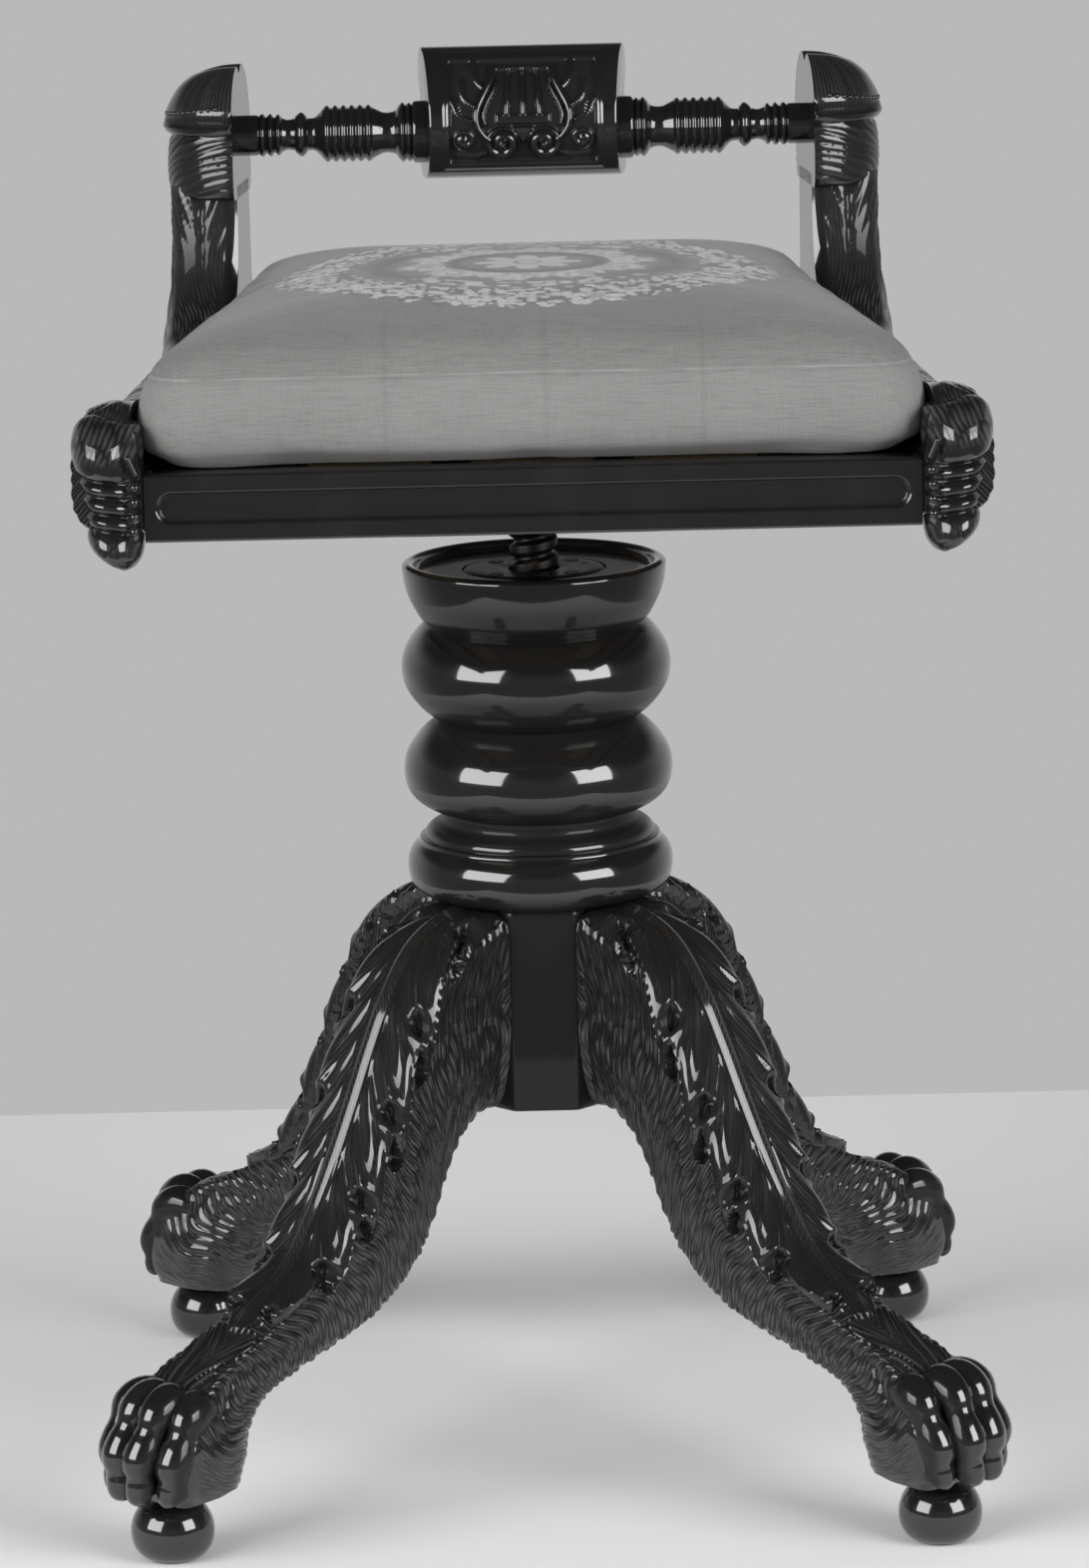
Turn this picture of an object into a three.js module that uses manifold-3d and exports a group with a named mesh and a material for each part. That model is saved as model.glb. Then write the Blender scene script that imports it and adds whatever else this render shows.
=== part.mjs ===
// Revolving piano stool: a carved four-legged base with a turned column, and a seat with
// swept arms and a low crest rail that turns on an iron lifting screw.
// Millimetres, +Z up, the sitter faces -Y. Origin: on the floor, under the column's axis.

import * as THREE from 'three';
import { mergeVertices } from 'three/addons/utils/BufferGeometryUtils.js';
import Module from 'manifold-3d';

const wasm = await Module();
wasm.setup();

// Driving dimensions of the base
const footSpan = 320; // ball foot to ball foot along one side
const ballDiameter = 35;
const ballHeight = 25;
const ballFlatRadius = 6;
const ballNeckRadius = 8;
const ballDowelRadius = 5;
const ballDowelLength = 20;
const columnBottom = 246.2; // floor to the underside of the turned column
const columnHeight = 144.4;
const columnRadius = 58.2;
const columnTenonRadius = 20;
const columnTenonLength = 34;
const screwBoreRadius = 12.5;
const recessDepth = 4; // sunk top of the column
const hubHeight = 89;
const hubFlatWidth = 28; // hub face that shows between two legs
const legThickness = 45;
const leafRise = 2.6; // how far the carved leaf swells over the plain leg
const leafStart = 16; // along the front, from the hub
const leafEnd = 265;
const lobePitch = 40;
const lobeShift = 12; // the first lobe starts this far above the hub
const lobeSlant = 0.55; // how far a groove runs down the leg for each millimetre across
const legTenonThickness = 14;
const legTenonHeight = 60;
const legTenonLength = 15;
const toeLength = 22;
const toeThickness = 12;
const toeWidth = 7.4;
const toeLeanDegrees = 38;

// Driving dimensions of the lifting screw and its nut
const threadPitch = 8;
const threadCrestRadius = 10.4;
const threadRootRadius = 8.2;
const threadClearance = 0.6;
const raiseTurns = 10; // from the pictured height to the highest
const seatGap = 38.9; // top of the column to the seat rails, at the pictured height
const screwNeckRadius = 7;
const rivetRadius = 9.5;
const rivetHeight = 3;
const nutFlangeRadius = 30.4;
const nutFlangeThickness = 3;
const nutSleeveRadius = 16;
const nutLength = 30;
const washerRadius = 16;
const washerThickness = 3;
const seatPlateRadius = 40;
const seatPlateThickness = 4.5;
const seatPlateInset = 9; // underside of the cross board to the top of the plate let into it

// Driving dimensions of the countersunk wood screws
const screwHeadRadius = 3.4;
const screwHeadHeight = 2.2;
const screwShankRadius = 1.7;
const nutScrewLength = 16;
const nutScrewCircle = 23;
const plateScrewLength = 11.5;
const plateScrewCircle = 28;

// Driving dimensions of the seat frame
const railHeight = 28;
const railThickness = 22;
const railShadow = 5; // how far the rail panel's ends stop short of the arms
const panelHeight = 13;
const panelDepth = 2;
const rebateHeight = 15.4;
const rebateWidth = 11;
const frontRailFace = -171.5; // front face of the front rail
const rearRailFace = 162;
const armInnerAtAxis = 140.4; // inner face of an arm, level with the column's axis
const armSplayDegrees = 5.3;
const railTenonLength = 12;
const railTenonThickness = 8;
const railTenonHeight = 15;
const boardWidth = 110;
const boardEndThickness = 11;
const boardThickness = 20;
const boardThickLength = 190;
const boardTongueLength = 5;
const boardTongueHeight = 6;
const cornerBlockLeg = 32;
const cornerBlockHeight = 10.5;
const slipFrameThickness = 12;
const slipFrameWidth = 38;
const strapWidth = 50;
const strapThickness = 1;
const strapSpacing = 66;

// Driving dimensions of the cushion
const cushionSideHeight = 31;
const cushionCrownHeight = 35;
const cushionTuck = 2.5; // how far the foot of the sides is drawn in
const cushionFront = -168;
const cushionRear = 150;
const cushionCornerRadius = 30;

// Driving dimensions of the arms
const armThickness = 28;
const postThickness = 31; // post between the cushion and the neck band
const armRise = 42; // rail bottom to the top of the arm beside the cushion
const postRise = 106; // rail bottom to the foot of the neck band
const armFront = -176;
const postFront = 131;
const postRear = 173;
const headThickness = 35;
const headDepth = 64;
const headHeight = 57;
const headCentre = 151;
const terminalReach = 12.4; // how far the front terminal stands before the arm
const terminalThickness = 27;
const terminalHeight = 50;
const terminalDrop = 9.5; // how far the lower lobe hangs below the rail

// Driving dimensions of the crest rail
const tabletWidth = 94;
const tabletHeight = 58;
const tabletDepth = 46;
const tabletFront = 121;
const tabletBottomRise = 110; // rail bottom to the underside of the tablet
const tabletFlareDegrees = 7; // the ends flare towards the back
const spindleRise = 131; // rail bottom to the axis of the spindles
const spindleAxis = 146;
const spindleRadius = 13.9;
const spindleTenonRadius = 6;
const spindleTenonLength = 12;

// Gaps and fineness
const clearance = 0.3;
const overrun = 4; // how far a cutting tool passes the face it cuts
const weldDistance = 1e-3;
const columnSegments = 24;
const spindleSegments = 10;
const smallSegments = 8;
const threadSegments = 12;

// Sizes that follow from the driving dimensions
const footReach = footSpan / Math.SQRT2;
const hubCorner = (hubFlatWidth + legThickness * Math.SQRT2 / 2) / Math.SQRT2;
const columnTop = columnBottom + columnHeight;
const recessFloor = columnTop - recessDepth;
const nutBottom = recessFloor - nutLength;
const railBottom = columnTop + seatGap;
const railTop = railBottom + railHeight;
const ledge = railTop - rebateHeight;
const screwBottom = nutBottom - raiseTurns * threadPitch;
const armSplay = THREE.MathUtils.degToRad(armSplayDegrees);
const armTop = railBottom + armRise;
const headBottom = railBottom + postRise;
const boardBottom = railBottom + clearance;
const plateTop = boardBottom + seatPlateInset;
const plateBottom = plateTop - seatPlateThickness;
const washerTop = plateBottom - clearance;
const washerBottom = washerTop - washerThickness;
const slipBottom = ledge + clearance;
const slipTop = slipBottom + slipFrameThickness;
const slipFront = frontRailFace + railThickness - rebateWidth + clearance;
const slipRear = rearRailFace - railThickness + rebateWidth - clearance;
const cushionBottom = railTop + clearance;
const spindleHeight = railBottom + spindleRise;
const tabletEndFlare = Math.tan(THREE.MathUtils.degToRad(tabletFlareDegrees));

// Half the width between the arms' inner faces at a place along the seat
const innerHalfWidth = (y) => armInnerAtAxis - y * Math.tan(armSplay);

// Half the tablet's width at a place along the seat
const tabletHalf = (y) => tabletWidth / 2 - (tabletFront + tabletDepth - y) * tabletEndFlare;

// Finishes
const ebonised = { color: 0x0b0a0a, roughness: 0.22, metalness: 0 };
const rawWood = { color: 0x8a6a48, roughness: 0.75, metalness: 0 };
const iron = { color: 0x2b2a2a, roughness: 0.45, metalness: 0.9 };
const jute = { color: 0xa08a63, roughness: 0.95, metalness: 0 };
const silk = { color: 0x84827f, roughness: 0.7, metalness: 0 };

const stool = new THREE.Group();

function place(name, geometry, finish) {
  const mesh = new THREE.Mesh(geometry, new THREE.MeshStandardMaterial(finish));
  mesh.name = name;
  stool.add(mesh);
}

// A closed body with shared corners, no collapsed triangles and its faces pointing out
function closedBody(geometry) {
  const bare = geometry.index ? geometry.toNonIndexed() : geometry.clone();
  for (const name of ['normal', 'uv']) bare.deleteAttribute(name);
  const merged = mergeVertices(bare, weldDistance);
  const position = merged.attributes.position;
  const corners = Array.from(merged.index.array);
  const kept = [];
  const [a, b, c] = [new THREE.Vector3(), new THREE.Vector3(), new THREE.Vector3()];
  let volume = 0;
  for (let i = 0; i < corners.length; i += 3) {
    const [p, q, r] = corners.slice(i, i + 3);
    if (p === q || q === r || r === p) continue;
    kept.push([p, q, r]);
    a.fromBufferAttribute(position, p);
    b.fromBufferAttribute(position, q);
    c.fromBufferAttribute(position, r);
    volume += a.dot(b.cross(c));
  }
  const turned = volume < 0 ? kept.map(([p, q, r]) => [p, r, q]) : kept;
  merged.setIndex(turned.flat());
  merged.computeVertexNormals();
  return merged;
}

function solidOf(geometry) {
  const body = closedBody(geometry);
  return new wasm.Manifold(new wasm.Mesh({
    numProp: 3,
    vertProperties: new Float32Array(body.attributes.position.array),
    triVerts: new Uint32Array(body.index.array),
  }));
}

function geometryOf(solid) {
  const mesh = solid.getMesh();
  const geometry = new THREE.BufferGeometry();
  geometry.setAttribute('position', new THREE.BufferAttribute(mesh.vertProperties, 3));
  geometry.setIndex(new THREE.BufferAttribute(mesh.triVerts, 1));
  geometry.computeVertexNormals();
  return geometry;
}

const join = (...bodies) => geometryOf(bodies.map(solidOf).reduce((sum, next) => sum.add(next)));
const common = (body, other) => geometryOf(solidOf(body).intersect(solidOf(other)));
function cut(body, ...tools) {
  return geometryOf(tools.map(solidOf).reduce((rest, tool) => rest.subtract(tool), solidOf(body)));
}

// A copy on the other side of the plane X = 0
const mirrored = (geometry) => closedBody(geometry.clone().applyMatrix4(new THREE.Matrix4().makeScale(-1, 1, 1)));

// A profile of [radius, height] points turned about Z
function turned(profile, segments) {
  const outline = profile.map(([radius, height]) => new THREE.Vector2(radius, height));
  return closedBody(new THREE.LatheGeometry(outline, segments).rotateX(Math.PI / 2));
}

function block([xLow, xHigh], [yLow, yHigh], [zLow, zHigh]) {
  return new THREE.BoxGeometry(xHigh - xLow, yHigh - yLow, zHigh - zLow)
    .translate((xLow + xHigh) / 2, (yLow + yHigh) / 2, (zLow + zHigh) / 2);
}

// A plan outline of [x, y] points raised from one height to another
function prism(outline, zLow, zHigh) {
  const shape = new THREE.Shape(outline.map(([x, y]) => new THREE.Vector2(x, y)));
  const options = { depth: zHigh - zLow, bevelEnabled: false };
  return closedBody(new THREE.ExtrudeGeometry(shape, options).translate(0, 0, zLow));
}

// A plan outline between the arms, with ends that follow the arms' inner faces
function betweenArms(yLow, yHigh, zLow, zHigh, gap = clearance) {
  const [low, high] = [innerHalfWidth(yLow) - gap, innerHalfWidth(yHigh) - gap];
  return prism([[-low, yLow], [low, yLow], [high, yHigh], [-high, yHigh]], zLow, zHigh);
}

// A closed body through rings of equal numbers of points, with flat or fanned ends
function loft(rings) {
  const count = rings[0].length;
  const points = rings.flat();
  const corners = [];
  for (let ring = 0; ring < rings.length - 1; ring += 1) {
    for (let i = 0; i < count; i += 1) {
      const [p, q] = [ring * count + i, ring * count + (i + 1) % count];
      corners.push(p, q, q + count, p, q + count, p + count);
    }
  }
  for (const [ring, outwards] of [[0, false], [rings.length - 1, true]]) {
    const centre = new THREE.Vector3();
    rings[ring].forEach((point) => centre.addScaledVector(point, 1 / count));
    points.push(centre);
    for (let i = 0; i < count; i += 1) {
      const [p, q] = [ring * count + i, ring * count + (i + 1) % count];
      corners.push(points.length - 1, ...(outwards ? [p, q] : [q, p]));
    }
  }
  const geometry = new THREE.BufferGeometry().setFromPoints(points);
  geometry.setIndex(corners);
  return closedBody(geometry);
}

// An ellipsoid of given radii about a centre
function bulge([xRadius, yRadius, zRadius], centre) {
  return new THREE.SphereGeometry(1, smallSegments, smallSegments - 2).scale(xRadius, yRadius, zRadius)
    .translate(...centre);
}

// A unit copy turned about Z: the four legs and everything that belongs to them
const quarters = [
  ['rear_right', Math.PI / 4], ['rear_left', 3 * Math.PI / 4],
  ['front_left', 5 * Math.PI / 4], ['front_right', 7 * Math.PI / 4],
];

// Ball feet: flattened balls with a dowel
// Outline of one ball, as shares of its radius and height, from the widest point of the flat up
const ballShares = [[0.72, 0.06], [0.93, 0.22], [1, 0.46], [0.94, 0.7], [0.75, 0.9]];

function ballFoot() {
  const radius = ballDiameter / 2;
  const outline = ballShares.map(([r, z]) => [r * radius, z * ballHeight]);
  return turned([
    [0, 0], [ballFlatRadius, 0], ...outline, [ballNeckRadius, ballHeight],
    [ballDowelRadius, ballHeight], [ballDowelRadius, ballHeight + ballDowelLength],
    [0, ballHeight + ballDowelLength],
  ], smallSegments * 2);
}

// Legs: lofted between an outer and an inner edge in the leg's own upright plane.
// Each row is [outer r, outer z, inner r, inner z, half width]: r as a share of the way from
// the hub's corner face to the ball foot, z as a share of the way from ball to column, the
// width as a share of half the leg's thickness at the hub.
const legRowShares = [
  [0, 0.996, 0, 0.595, 1],
  [0.1, 0.985, 0.05, 0.588, 1.04],
  [0.2, 0.945, 0.104, 0.56, 1.08],
  [0.285, 0.86, 0.152, 0.518, 1.12],
  [0.35, 0.765, 0.183, 0.468, 1.12],
  [0.41, 0.665, 0.211, 0.411, 1.1],
  [0.474, 0.565, 0.254, 0.347, 1.06],
  [0.545, 0.467, 0.316, 0.293, 0.98],
  [0.627, 0.38, 0.407, 0.246, 0.9],
  [0.73, 0.323, 0.527, 0.211, 0.84],
  [0.855, 0.275, 0.642, 0.184, 0.82],
  [0.965, 0.238, 0.737, 0.158, 0.86],
  [1.055, 0.192, 0.804, 0.118, 0.97],
  [1.11, 0.125, 0.84, 0.065, 1.03],
  [1.13, 0.056, 0.86, 0.018, 1],
  [1.115, 0.01, 0.877, 0.01, 0.9],
];

// One side of a leg's cross-section, from the leaf's rib over its edge to the back, broad in front:
// [along the depth, across] shares of the half sizes, the distance from the rib as a share of
// half the thickness, then the leaf's rise in the grooves and in the middle of its lobes, as
// shares of the full rise
const legSectionShares = [
  [1, 0, 0, 1, 1], [0.99, 0.28, 0.28, -0.4, -0.4], [0.96, 0.6, 0.6, -0.2, 0.35],
  [0.86, 0.95, 1.1, -0.65, 0.9], [0.66, 0.99, 1.4, -0.7, 1], [0.56, 1, 1.6, -0.6, -0.5],
  [0, 1, 2.3, -0.5, -0.3], [-0.5, 0.92, 2.8, -0.5, -0.3], [-0.85, 0.72, 3.2, -0.5, 0.1],
  [-1, 0.32, 3.5, -0.5, 0.2],
];

// Toes: [across as a share of the leg's half thickness, forward as a share of the toe's length],
// set out from one spot in the leg's own plane
const toeShares = [[-0.8, -0.22], [-0.28, 0.06], [0.28, 0.06], [0.8, -0.22]];
const toeSpotShares = [1.085, 0.095];

function legSpot(rShare, zShare) {
  const start = hubCorner + clearance;
  return [start + rShare * (footReach - start), ballHeight + zShare * (columnBottom - ballHeight)];
}

// How far the carving stands over the plain leg, in lobes that swell between slanting grooves
function leafHeight(along, place, low, high) {
  if (along < leafStart || along > leafEnd) return 0;
  const lobe = (along + lobeShift - lobeSlant * place * legThickness / 2) / lobePitch;
  return leafRise * (low + (high - low) * Math.sin(Math.PI * (lobe - Math.floor(lobe))) ** 0.7);
}

// Rows of numbers with the mean of two neighbours between them
const withMiddles = (rows) => rows.flatMap((row, i) => (
  i + 1 < rows.length ? [row, row.map((share, k) => (share + rows[i + 1][k]) / 2)] : [row]));

function legBody() {
  const section = [...legSectionShares, ...legSectionShares.slice(1).reverse()
    .map(([depth, across, ...carving]) => [depth, -across, ...carving])];
  const rows = withMiddles(legRowShares);
  let along = 0;
  const rings = rows.map(([outerR, outerZ, innerR, innerZ, widthShare], i) => {
    const [r1, z1] = legSpot(outerR, outerZ);
    const [r2, z2] = legSpot(innerR, innerZ);
    const [r0, z0] = legSpot(...rows[Math.max(i - 1, 0)]);
    along += Math.hypot(r1 - r0, z1 - z0);
    const half = widthShare * legThickness / 2;
    const halfDepth = Math.hypot(r1 - r2, z1 - z2) / 2;
    return section.map(([depth, across, ...carving]) => {
      const slope = Math.hypot(depth ** 3, across ** 3);
      const rise = leafHeight(along, ...carving);
      const forward = (depth + rise * depth ** 3 / slope / halfDepth) / 2;
      return new THREE.Vector3((r1 + r2) / 2 + forward * (r1 - r2),
        across * half + rise * across ** 3 / slope, (z1 + z2) / 2 + forward * (z1 - z2));
    });
  });
  const toeLean = THREE.MathUtils.degToRad(toeLeanDegrees);
  const [toeR, toeZ] = legSpot(...toeSpotShares);
  const toes = toeShares.map(([across, forward]) => (
    bulge([toeWidth, toeThickness, toeLength], [0, 0, 0]).rotateZ(Math.PI / 2).rotateY(-toeLean)
      .translate(toeR + forward * toeLength, across * legThickness / 2, toeZ)));
  const tenonTop = columnBottom - hubHeight + (hubHeight + legTenonHeight) / 2;
  const tenon = block([hubCorner - legTenonLength, hubCorner + legTenonLength],
    [-legTenonThickness / 2, legTenonThickness / 2], [tenonTop - legTenonHeight, tenonTop]);
  const sole = block([0, 2 * footReach], [-footReach, footReach], [-ballHeight, ballHeight + clearance]);
  const socket = turned([[0, ballHeight - overrun], [ballDowelRadius + clearance, ballHeight - overrun],
    [ballDowelRadius + clearance, ballHeight + ballDowelLength + clearance],
    [0, ballHeight + ballDowelLength + clearance]], smallSegments * 2).translate(footReach, 0, 0);
  return cut(join(loft(rings), tenon, ...toes), sole, socket);
}

// Hub: an eight-sided block with a bore, a socket for the column and a mortise in each corner face
function hubBlock() {
  const flat = hubCorner * Math.SQRT2 - hubFlatWidth / 2;
  const near = hubFlatWidth / 2;
  const bottom = columnBottom - hubHeight;
  const top = columnBottom - clearance;
  const body = prism([[near, -flat], [flat, -near], [flat, near], [near, flat],
    [-near, flat], [-flat, near], [-flat, -near], [-near, -flat]], bottom, top);
  const bore = turned([[0, bottom - overrun], [screwBoreRadius, bottom - overrun],
    [screwBoreRadius, top + overrun], [0, top + overrun]], columnSegments);
  const socketRadius = columnTenonRadius + clearance;
  const socketFloor = columnBottom - columnTenonLength - clearance;
  const socket = turned([[0, socketFloor], [socketRadius, socketFloor],
    [socketRadius, top + overrun], [0, top + overrun]], columnSegments);
  const middle = bottom + hubHeight / 2;
  const mortiseHalf = legTenonHeight / 2 + clearance;
  const mortises = quarters.map(([, angle]) => block(
    [hubCorner - legTenonLength - clearance, hubCorner + overrun],
    [-legTenonThickness / 2 - clearance, legTenonThickness / 2 + clearance],
    [middle - mortiseHalf, middle + mortiseHalf]).rotateZ(angle));
  return cut(body, bore, socket, ...mortises);
}

// Column outline from the foot up, as shares of [column radius, column height]:
// torus, fillet, ovolo and neck, lower bulb, upper bulb, cup and rim
const columnShares = [
  [0.854, 0], [0.957, 0.035], [0.986, 0.078], [0.959, 0.127], [0.892, 0.155],
  [0.887, 0.167], [0.845, 0.186], [0.773, 0.201], [0.737, 0.227], [0.73, 0.251],
  [0.887, 0.282], [0.981, 0.319], [1, 0.376], [0.966, 0.428], [0.893, 0.474], [0.735, 0.523],
  [0.845, 0.56], [0.928, 0.602], [0.99, 0.65], [0.998, 0.691], [0.954, 0.757], [0.811, 0.82],
  [0.875, 0.857], [0.942, 0.913], [0.974, 0.965], [0.966, 0.99], [0.933, 1], [0.9, 0.997],
  [0.887, 0.989],
];

function turnedColumn() {
  const outline = columnShares.map(([r, z]) => [r * columnRadius, columnBottom + z * columnHeight]);
  const rimInside = outline.at(-1)[0];
  const seatRadius = nutFlangeRadius + 2 * clearance;
  const seatFloor = recessFloor - nutFlangeThickness - clearance;
  const sleeveRadius = nutSleeveRadius + clearance;
  const sleeveFloor = nutBottom - clearance;
  const body = turned([
    [screwBoreRadius, columnBottom - columnTenonLength],
    [columnTenonRadius, columnBottom - columnTenonLength], [columnTenonRadius, columnBottom],
    ...outline,
    [rimInside, recessFloor], [seatRadius, recessFloor], [seatRadius, seatFloor],
    [sleeveRadius, seatFloor], [sleeveRadius, sleeveFloor], [screwBoreRadius, sleeveFloor],
    [screwBoreRadius, columnBottom - columnTenonLength],
  ], columnSegments);
  return cut(body, ...ringOf(nutScrewCircle).map(([x, y]) => screwHole(recessFloor, nutScrewLength)
    .translate(x, y, 0)));
}

// Four places on a circle, on the diagonals
const ringOf = (radius) => quarters.map(([, angle]) => [radius * Math.cos(angle), radius * Math.sin(angle)]);

// A countersunk wood screw that points down from a face; turned over it points up
function woodScrew(face, length) {
  return turned([[0, face - length], [screwShankRadius, face - length + screwShankRadius],
    [screwShankRadius, face - screwHeadHeight], [screwHeadRadius, face], [0, face]], smallSegments);
}

function screwHole(face, length) {
  const bottom = face - length - clearance;
  const flare = overrun * (screwHeadRadius - screwShankRadius) / screwHeadHeight;
  return turned([[0, bottom], [screwShankRadius + clearance, bottom],
    [screwShankRadius + clearance, face - screwHeadHeight - clearance],
    [screwHeadRadius + clearance, face - clearance],
    [screwHeadRadius + clearance + flare, face + overrun], [0, face + overrun]], smallSegments);
}

const turnedOver = (geometry, face) => geometry.rotateX(Math.PI).translate(0, 0, 2 * face);

// Screw thread: a V profile that climbs one pitch a turn, right-handed, closed at both ends.
// Its root passes the floor of the column's sunk top on the +X side, on screw and nut alike.
function threadBody(rootRadius, crestRadius, turnsBelow, turnsAbove) {
  const rows = 2 * (turnsBelow + turnsAbove) + 1;
  const points = [];
  for (let column = 0; column < threadSegments; column += 1) {
    const angle = 2 * Math.PI * column / threadSegments;
    for (let row = 0; row < rows; row += 1) {
      const radius = row % 2 ? crestRadius : rootRadius;
      const climb = row / 2 - turnsBelow + column / threadSegments;
      points.push(new THREE.Vector3(radius * Math.cos(angle), radius * Math.sin(angle),
        recessFloor + threadPitch * climb));
    }
  }
  const corners = [];
  const at = (column, row) => (column === threadSegments ? row + 2 : column * rows + row);
  for (let column = 0; column < threadSegments; column += 1) {
    const last = column === threadSegments - 1 ? rows - 3 : rows - 1;
    for (let row = 0; row < last; row += 1) {
      const [p, q, r, s] = [at(column, row), at(column + 1, row), at(column + 1, row + 1), at(column, row + 1)];
      corners.push(p, q, r, p, r, s);
    }
  }
  const columns = Array.from({ length: threadSegments }, (_, column) => column);
  const foot = [...columns.map((column) => at(column, 0)), 2, 1];
  const head = [...columns.map((column) => at(column, rows - 1)),
    at(threadSegments - 1, rows - 2), at(threadSegments - 1, rows - 3)];
  for (const [loop, height] of [[foot, -turnsBelow], [head, turnsAbove + 1]]) {
    points.push(new THREE.Vector3(0, 0, recessFloor + threadPitch * height));
    loop.forEach((p, i) => {
      const q = loop[(i + 1) % loop.length];
      corners.push(points.length - 1, ...(loop === foot ? [q, p] : [p, q]));
    });
  }
  const geometry = new THREE.BufferGeometry().setFromPoints(points);
  geometry.setIndex(corners);
  return closedBody(geometry);
}

// The lifting screw: thread, plain neck and a head riveted over the seat plate
function liftScrew() {
  const shoulder = washerBottom - clearance;
  const turnsBelow = Math.ceil((recessFloor - screwBottom) / threadPitch) + 1;
  const turnsAbove = Math.ceil((shoulder - recessFloor) / threadPitch) + 1;
  const thread = threadBody(threadRootRadius, threadCrestRadius, turnsBelow, turnsAbove);
  const reach = 2 * threadCrestRadius;
  const chamfer = threadCrestRadius - threadRootRadius;
  const stretch = turned([[0, screwBottom], [threadRootRadius, screwBottom],
    [threadCrestRadius, screwBottom + chamfer], [threadCrestRadius, shoulder], [0, shoulder]], threadSegments);
  const neck = turned([[0, shoulder - reach], [screwNeckRadius, shoulder - reach],
    [screwNeckRadius, plateTop + clearance], [rivetRadius, plateTop + clearance],
    [rivetRadius, plateTop + rivetHeight - chamfer], [screwNeckRadius, plateTop + rivetHeight],
    [0, plateTop + rivetHeight]], threadSegments);
  return join(common(thread, stretch), neck);
}

// The nut: a flange let into the column's sunk top, and a sleeve with the inside thread
function screwNut() {
  const flangeBottom = recessFloor - nutFlangeThickness;
  const body = turned([[0, nutBottom], [nutSleeveRadius, nutBottom], [nutSleeveRadius, flangeBottom],
    [nutFlangeRadius, flangeBottom], [nutFlangeRadius, recessFloor], [0, recessFloor]], columnSegments);
  const turnsBelow = Math.ceil(nutLength / threadPitch) + 1;
  const thread = threadBody(threadRootRadius + threadClearance, threadCrestRadius + threadClearance,
    turnsBelow, 1);
  const holes = ringOf(nutScrewCircle).map(([x, y]) => screwHole(recessFloor, nutScrewLength).translate(x, y, 0));
  return cut(body, thread, ...holes);
}

// A flat ring about the column's axis
function ring(innerRadius, outerRadius, zLow, zHigh, segments) {
  return turned([[innerRadius, zLow], [outerRadius, zLow], [outerRadius, zHigh], [innerRadius, zHigh],
    [innerRadius, zLow]], segments);
}

// The plate is let into the underside of the cross board
function seatPlate() {
  const body = ring(screwNeckRadius + clearance, seatPlateRadius, plateBottom, plateTop, columnSegments);
  return cut(body, ...ringOf(plateScrewCircle).map(([x, y]) => (
    turnedOver(screwHole(plateBottom, plateScrewLength), plateBottom).translate(x, y, 0))));
}

// Cross board: thick over the plate, thin where the slip frame passes, tongued into the rails
function crossBoard() {
  const half = boardWidth / 2;
  const front = frontRailFace + railThickness + clearance;
  const rear = rearRailFace - railThickness - clearance;
  const thick = boardThickLength / 2;
  const tongueLow = boardBottom + (boardEndThickness - boardTongueHeight) / 2;
  const ends = block([-half, half], [front, rear], [boardBottom, boardBottom + boardEndThickness]);
  const middle = block([-half, half], [-thick, thick], [boardBottom, boardBottom + boardThickness]);
  const tongue = block([-half, half], [front - boardTongueLength, rear + boardTongueLength],
    [tongueLow, tongueLow + boardTongueHeight]);
  const low = boardBottom - overrun;
  const high = boardBottom + boardThickness + overrun;
  const recess = turned([[0, low], [seatPlateRadius + clearance, low],
    [seatPlateRadius + clearance, plateTop + clearance], [rivetRadius + clearance, plateTop + clearance],
    [rivetRadius + clearance, high], [0, high]], columnSegments);
  const holes = ringOf(plateScrewCircle).map(([x, y]) => (
    turnedOver(screwHole(plateBottom, plateScrewLength), plateBottom).translate(x, y, 0)));
  return cut(join(ends, middle, tongue), recess, ...holes);
}

// Seat rails: a rebate on the inside carries the slip frame, a tenon at each end enters an arm
function seatRail(face, inward) {
  const inside = face + inward * railThickness;
  const [yLow, yHigh] = [Math.min(face, inside), Math.max(face, inside)];
  const middle = (yLow + yHigh) / 2;
  const body = betweenArms(yLow, yHigh, railBottom, railTop);
  const tenon = betweenArms(middle - railTenonThickness / 2, middle + railTenonThickness / 2,
    railBottom + (railHeight - railTenonHeight) / 2, railBottom + (railHeight + railTenonHeight) / 2,
    -railTenonLength);
  const step = [inside - inward * rebateWidth, inside + inward * overrun].sort((a, b) => a - b);
  const rebate = block([-armInnerAtAxis * 2, armInnerAtAxis * 2], step, [ledge, railTop + overrun]);
  const grooveLow = boardBottom + (boardEndThickness - boardTongueHeight) / 2 - clearance;
  const depth = [inside - inward * (boardTongueLength + clearance), inside + inward * overrun]
    .sort((a, b) => a - b);
  const half = boardWidth / 2 + clearance;
  const groove = block([-half, half], depth, [grooveLow, grooveLow + boardTongueHeight + 2 * clearance]);
  return cut(join(body, tenon), rebate, groove);
}

// The long sunk panel of the front rail has half-round ends
function frontPanel() {
  const radius = panelHeight / 2;
  const reach = innerHalfWidth(frontRailFace) - railShadow - radius;
  const outline = new THREE.Shape();
  outline.absarc(reach, 0, radius, -Math.PI / 2, Math.PI / 2);
  outline.absarc(-reach, 0, radius, Math.PI / 2, 3 * Math.PI / 2);
  const options = { depth: panelDepth + overrun, bevelEnabled: false, curveSegments: smallSegments / 2 };
  return closedBody(new THREE.ExtrudeGeometry(outline, options)
    .rotateX(Math.PI / 2).translate(0, frontRailFace + panelDepth, railBottom + railHeight / 2));
}

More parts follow.
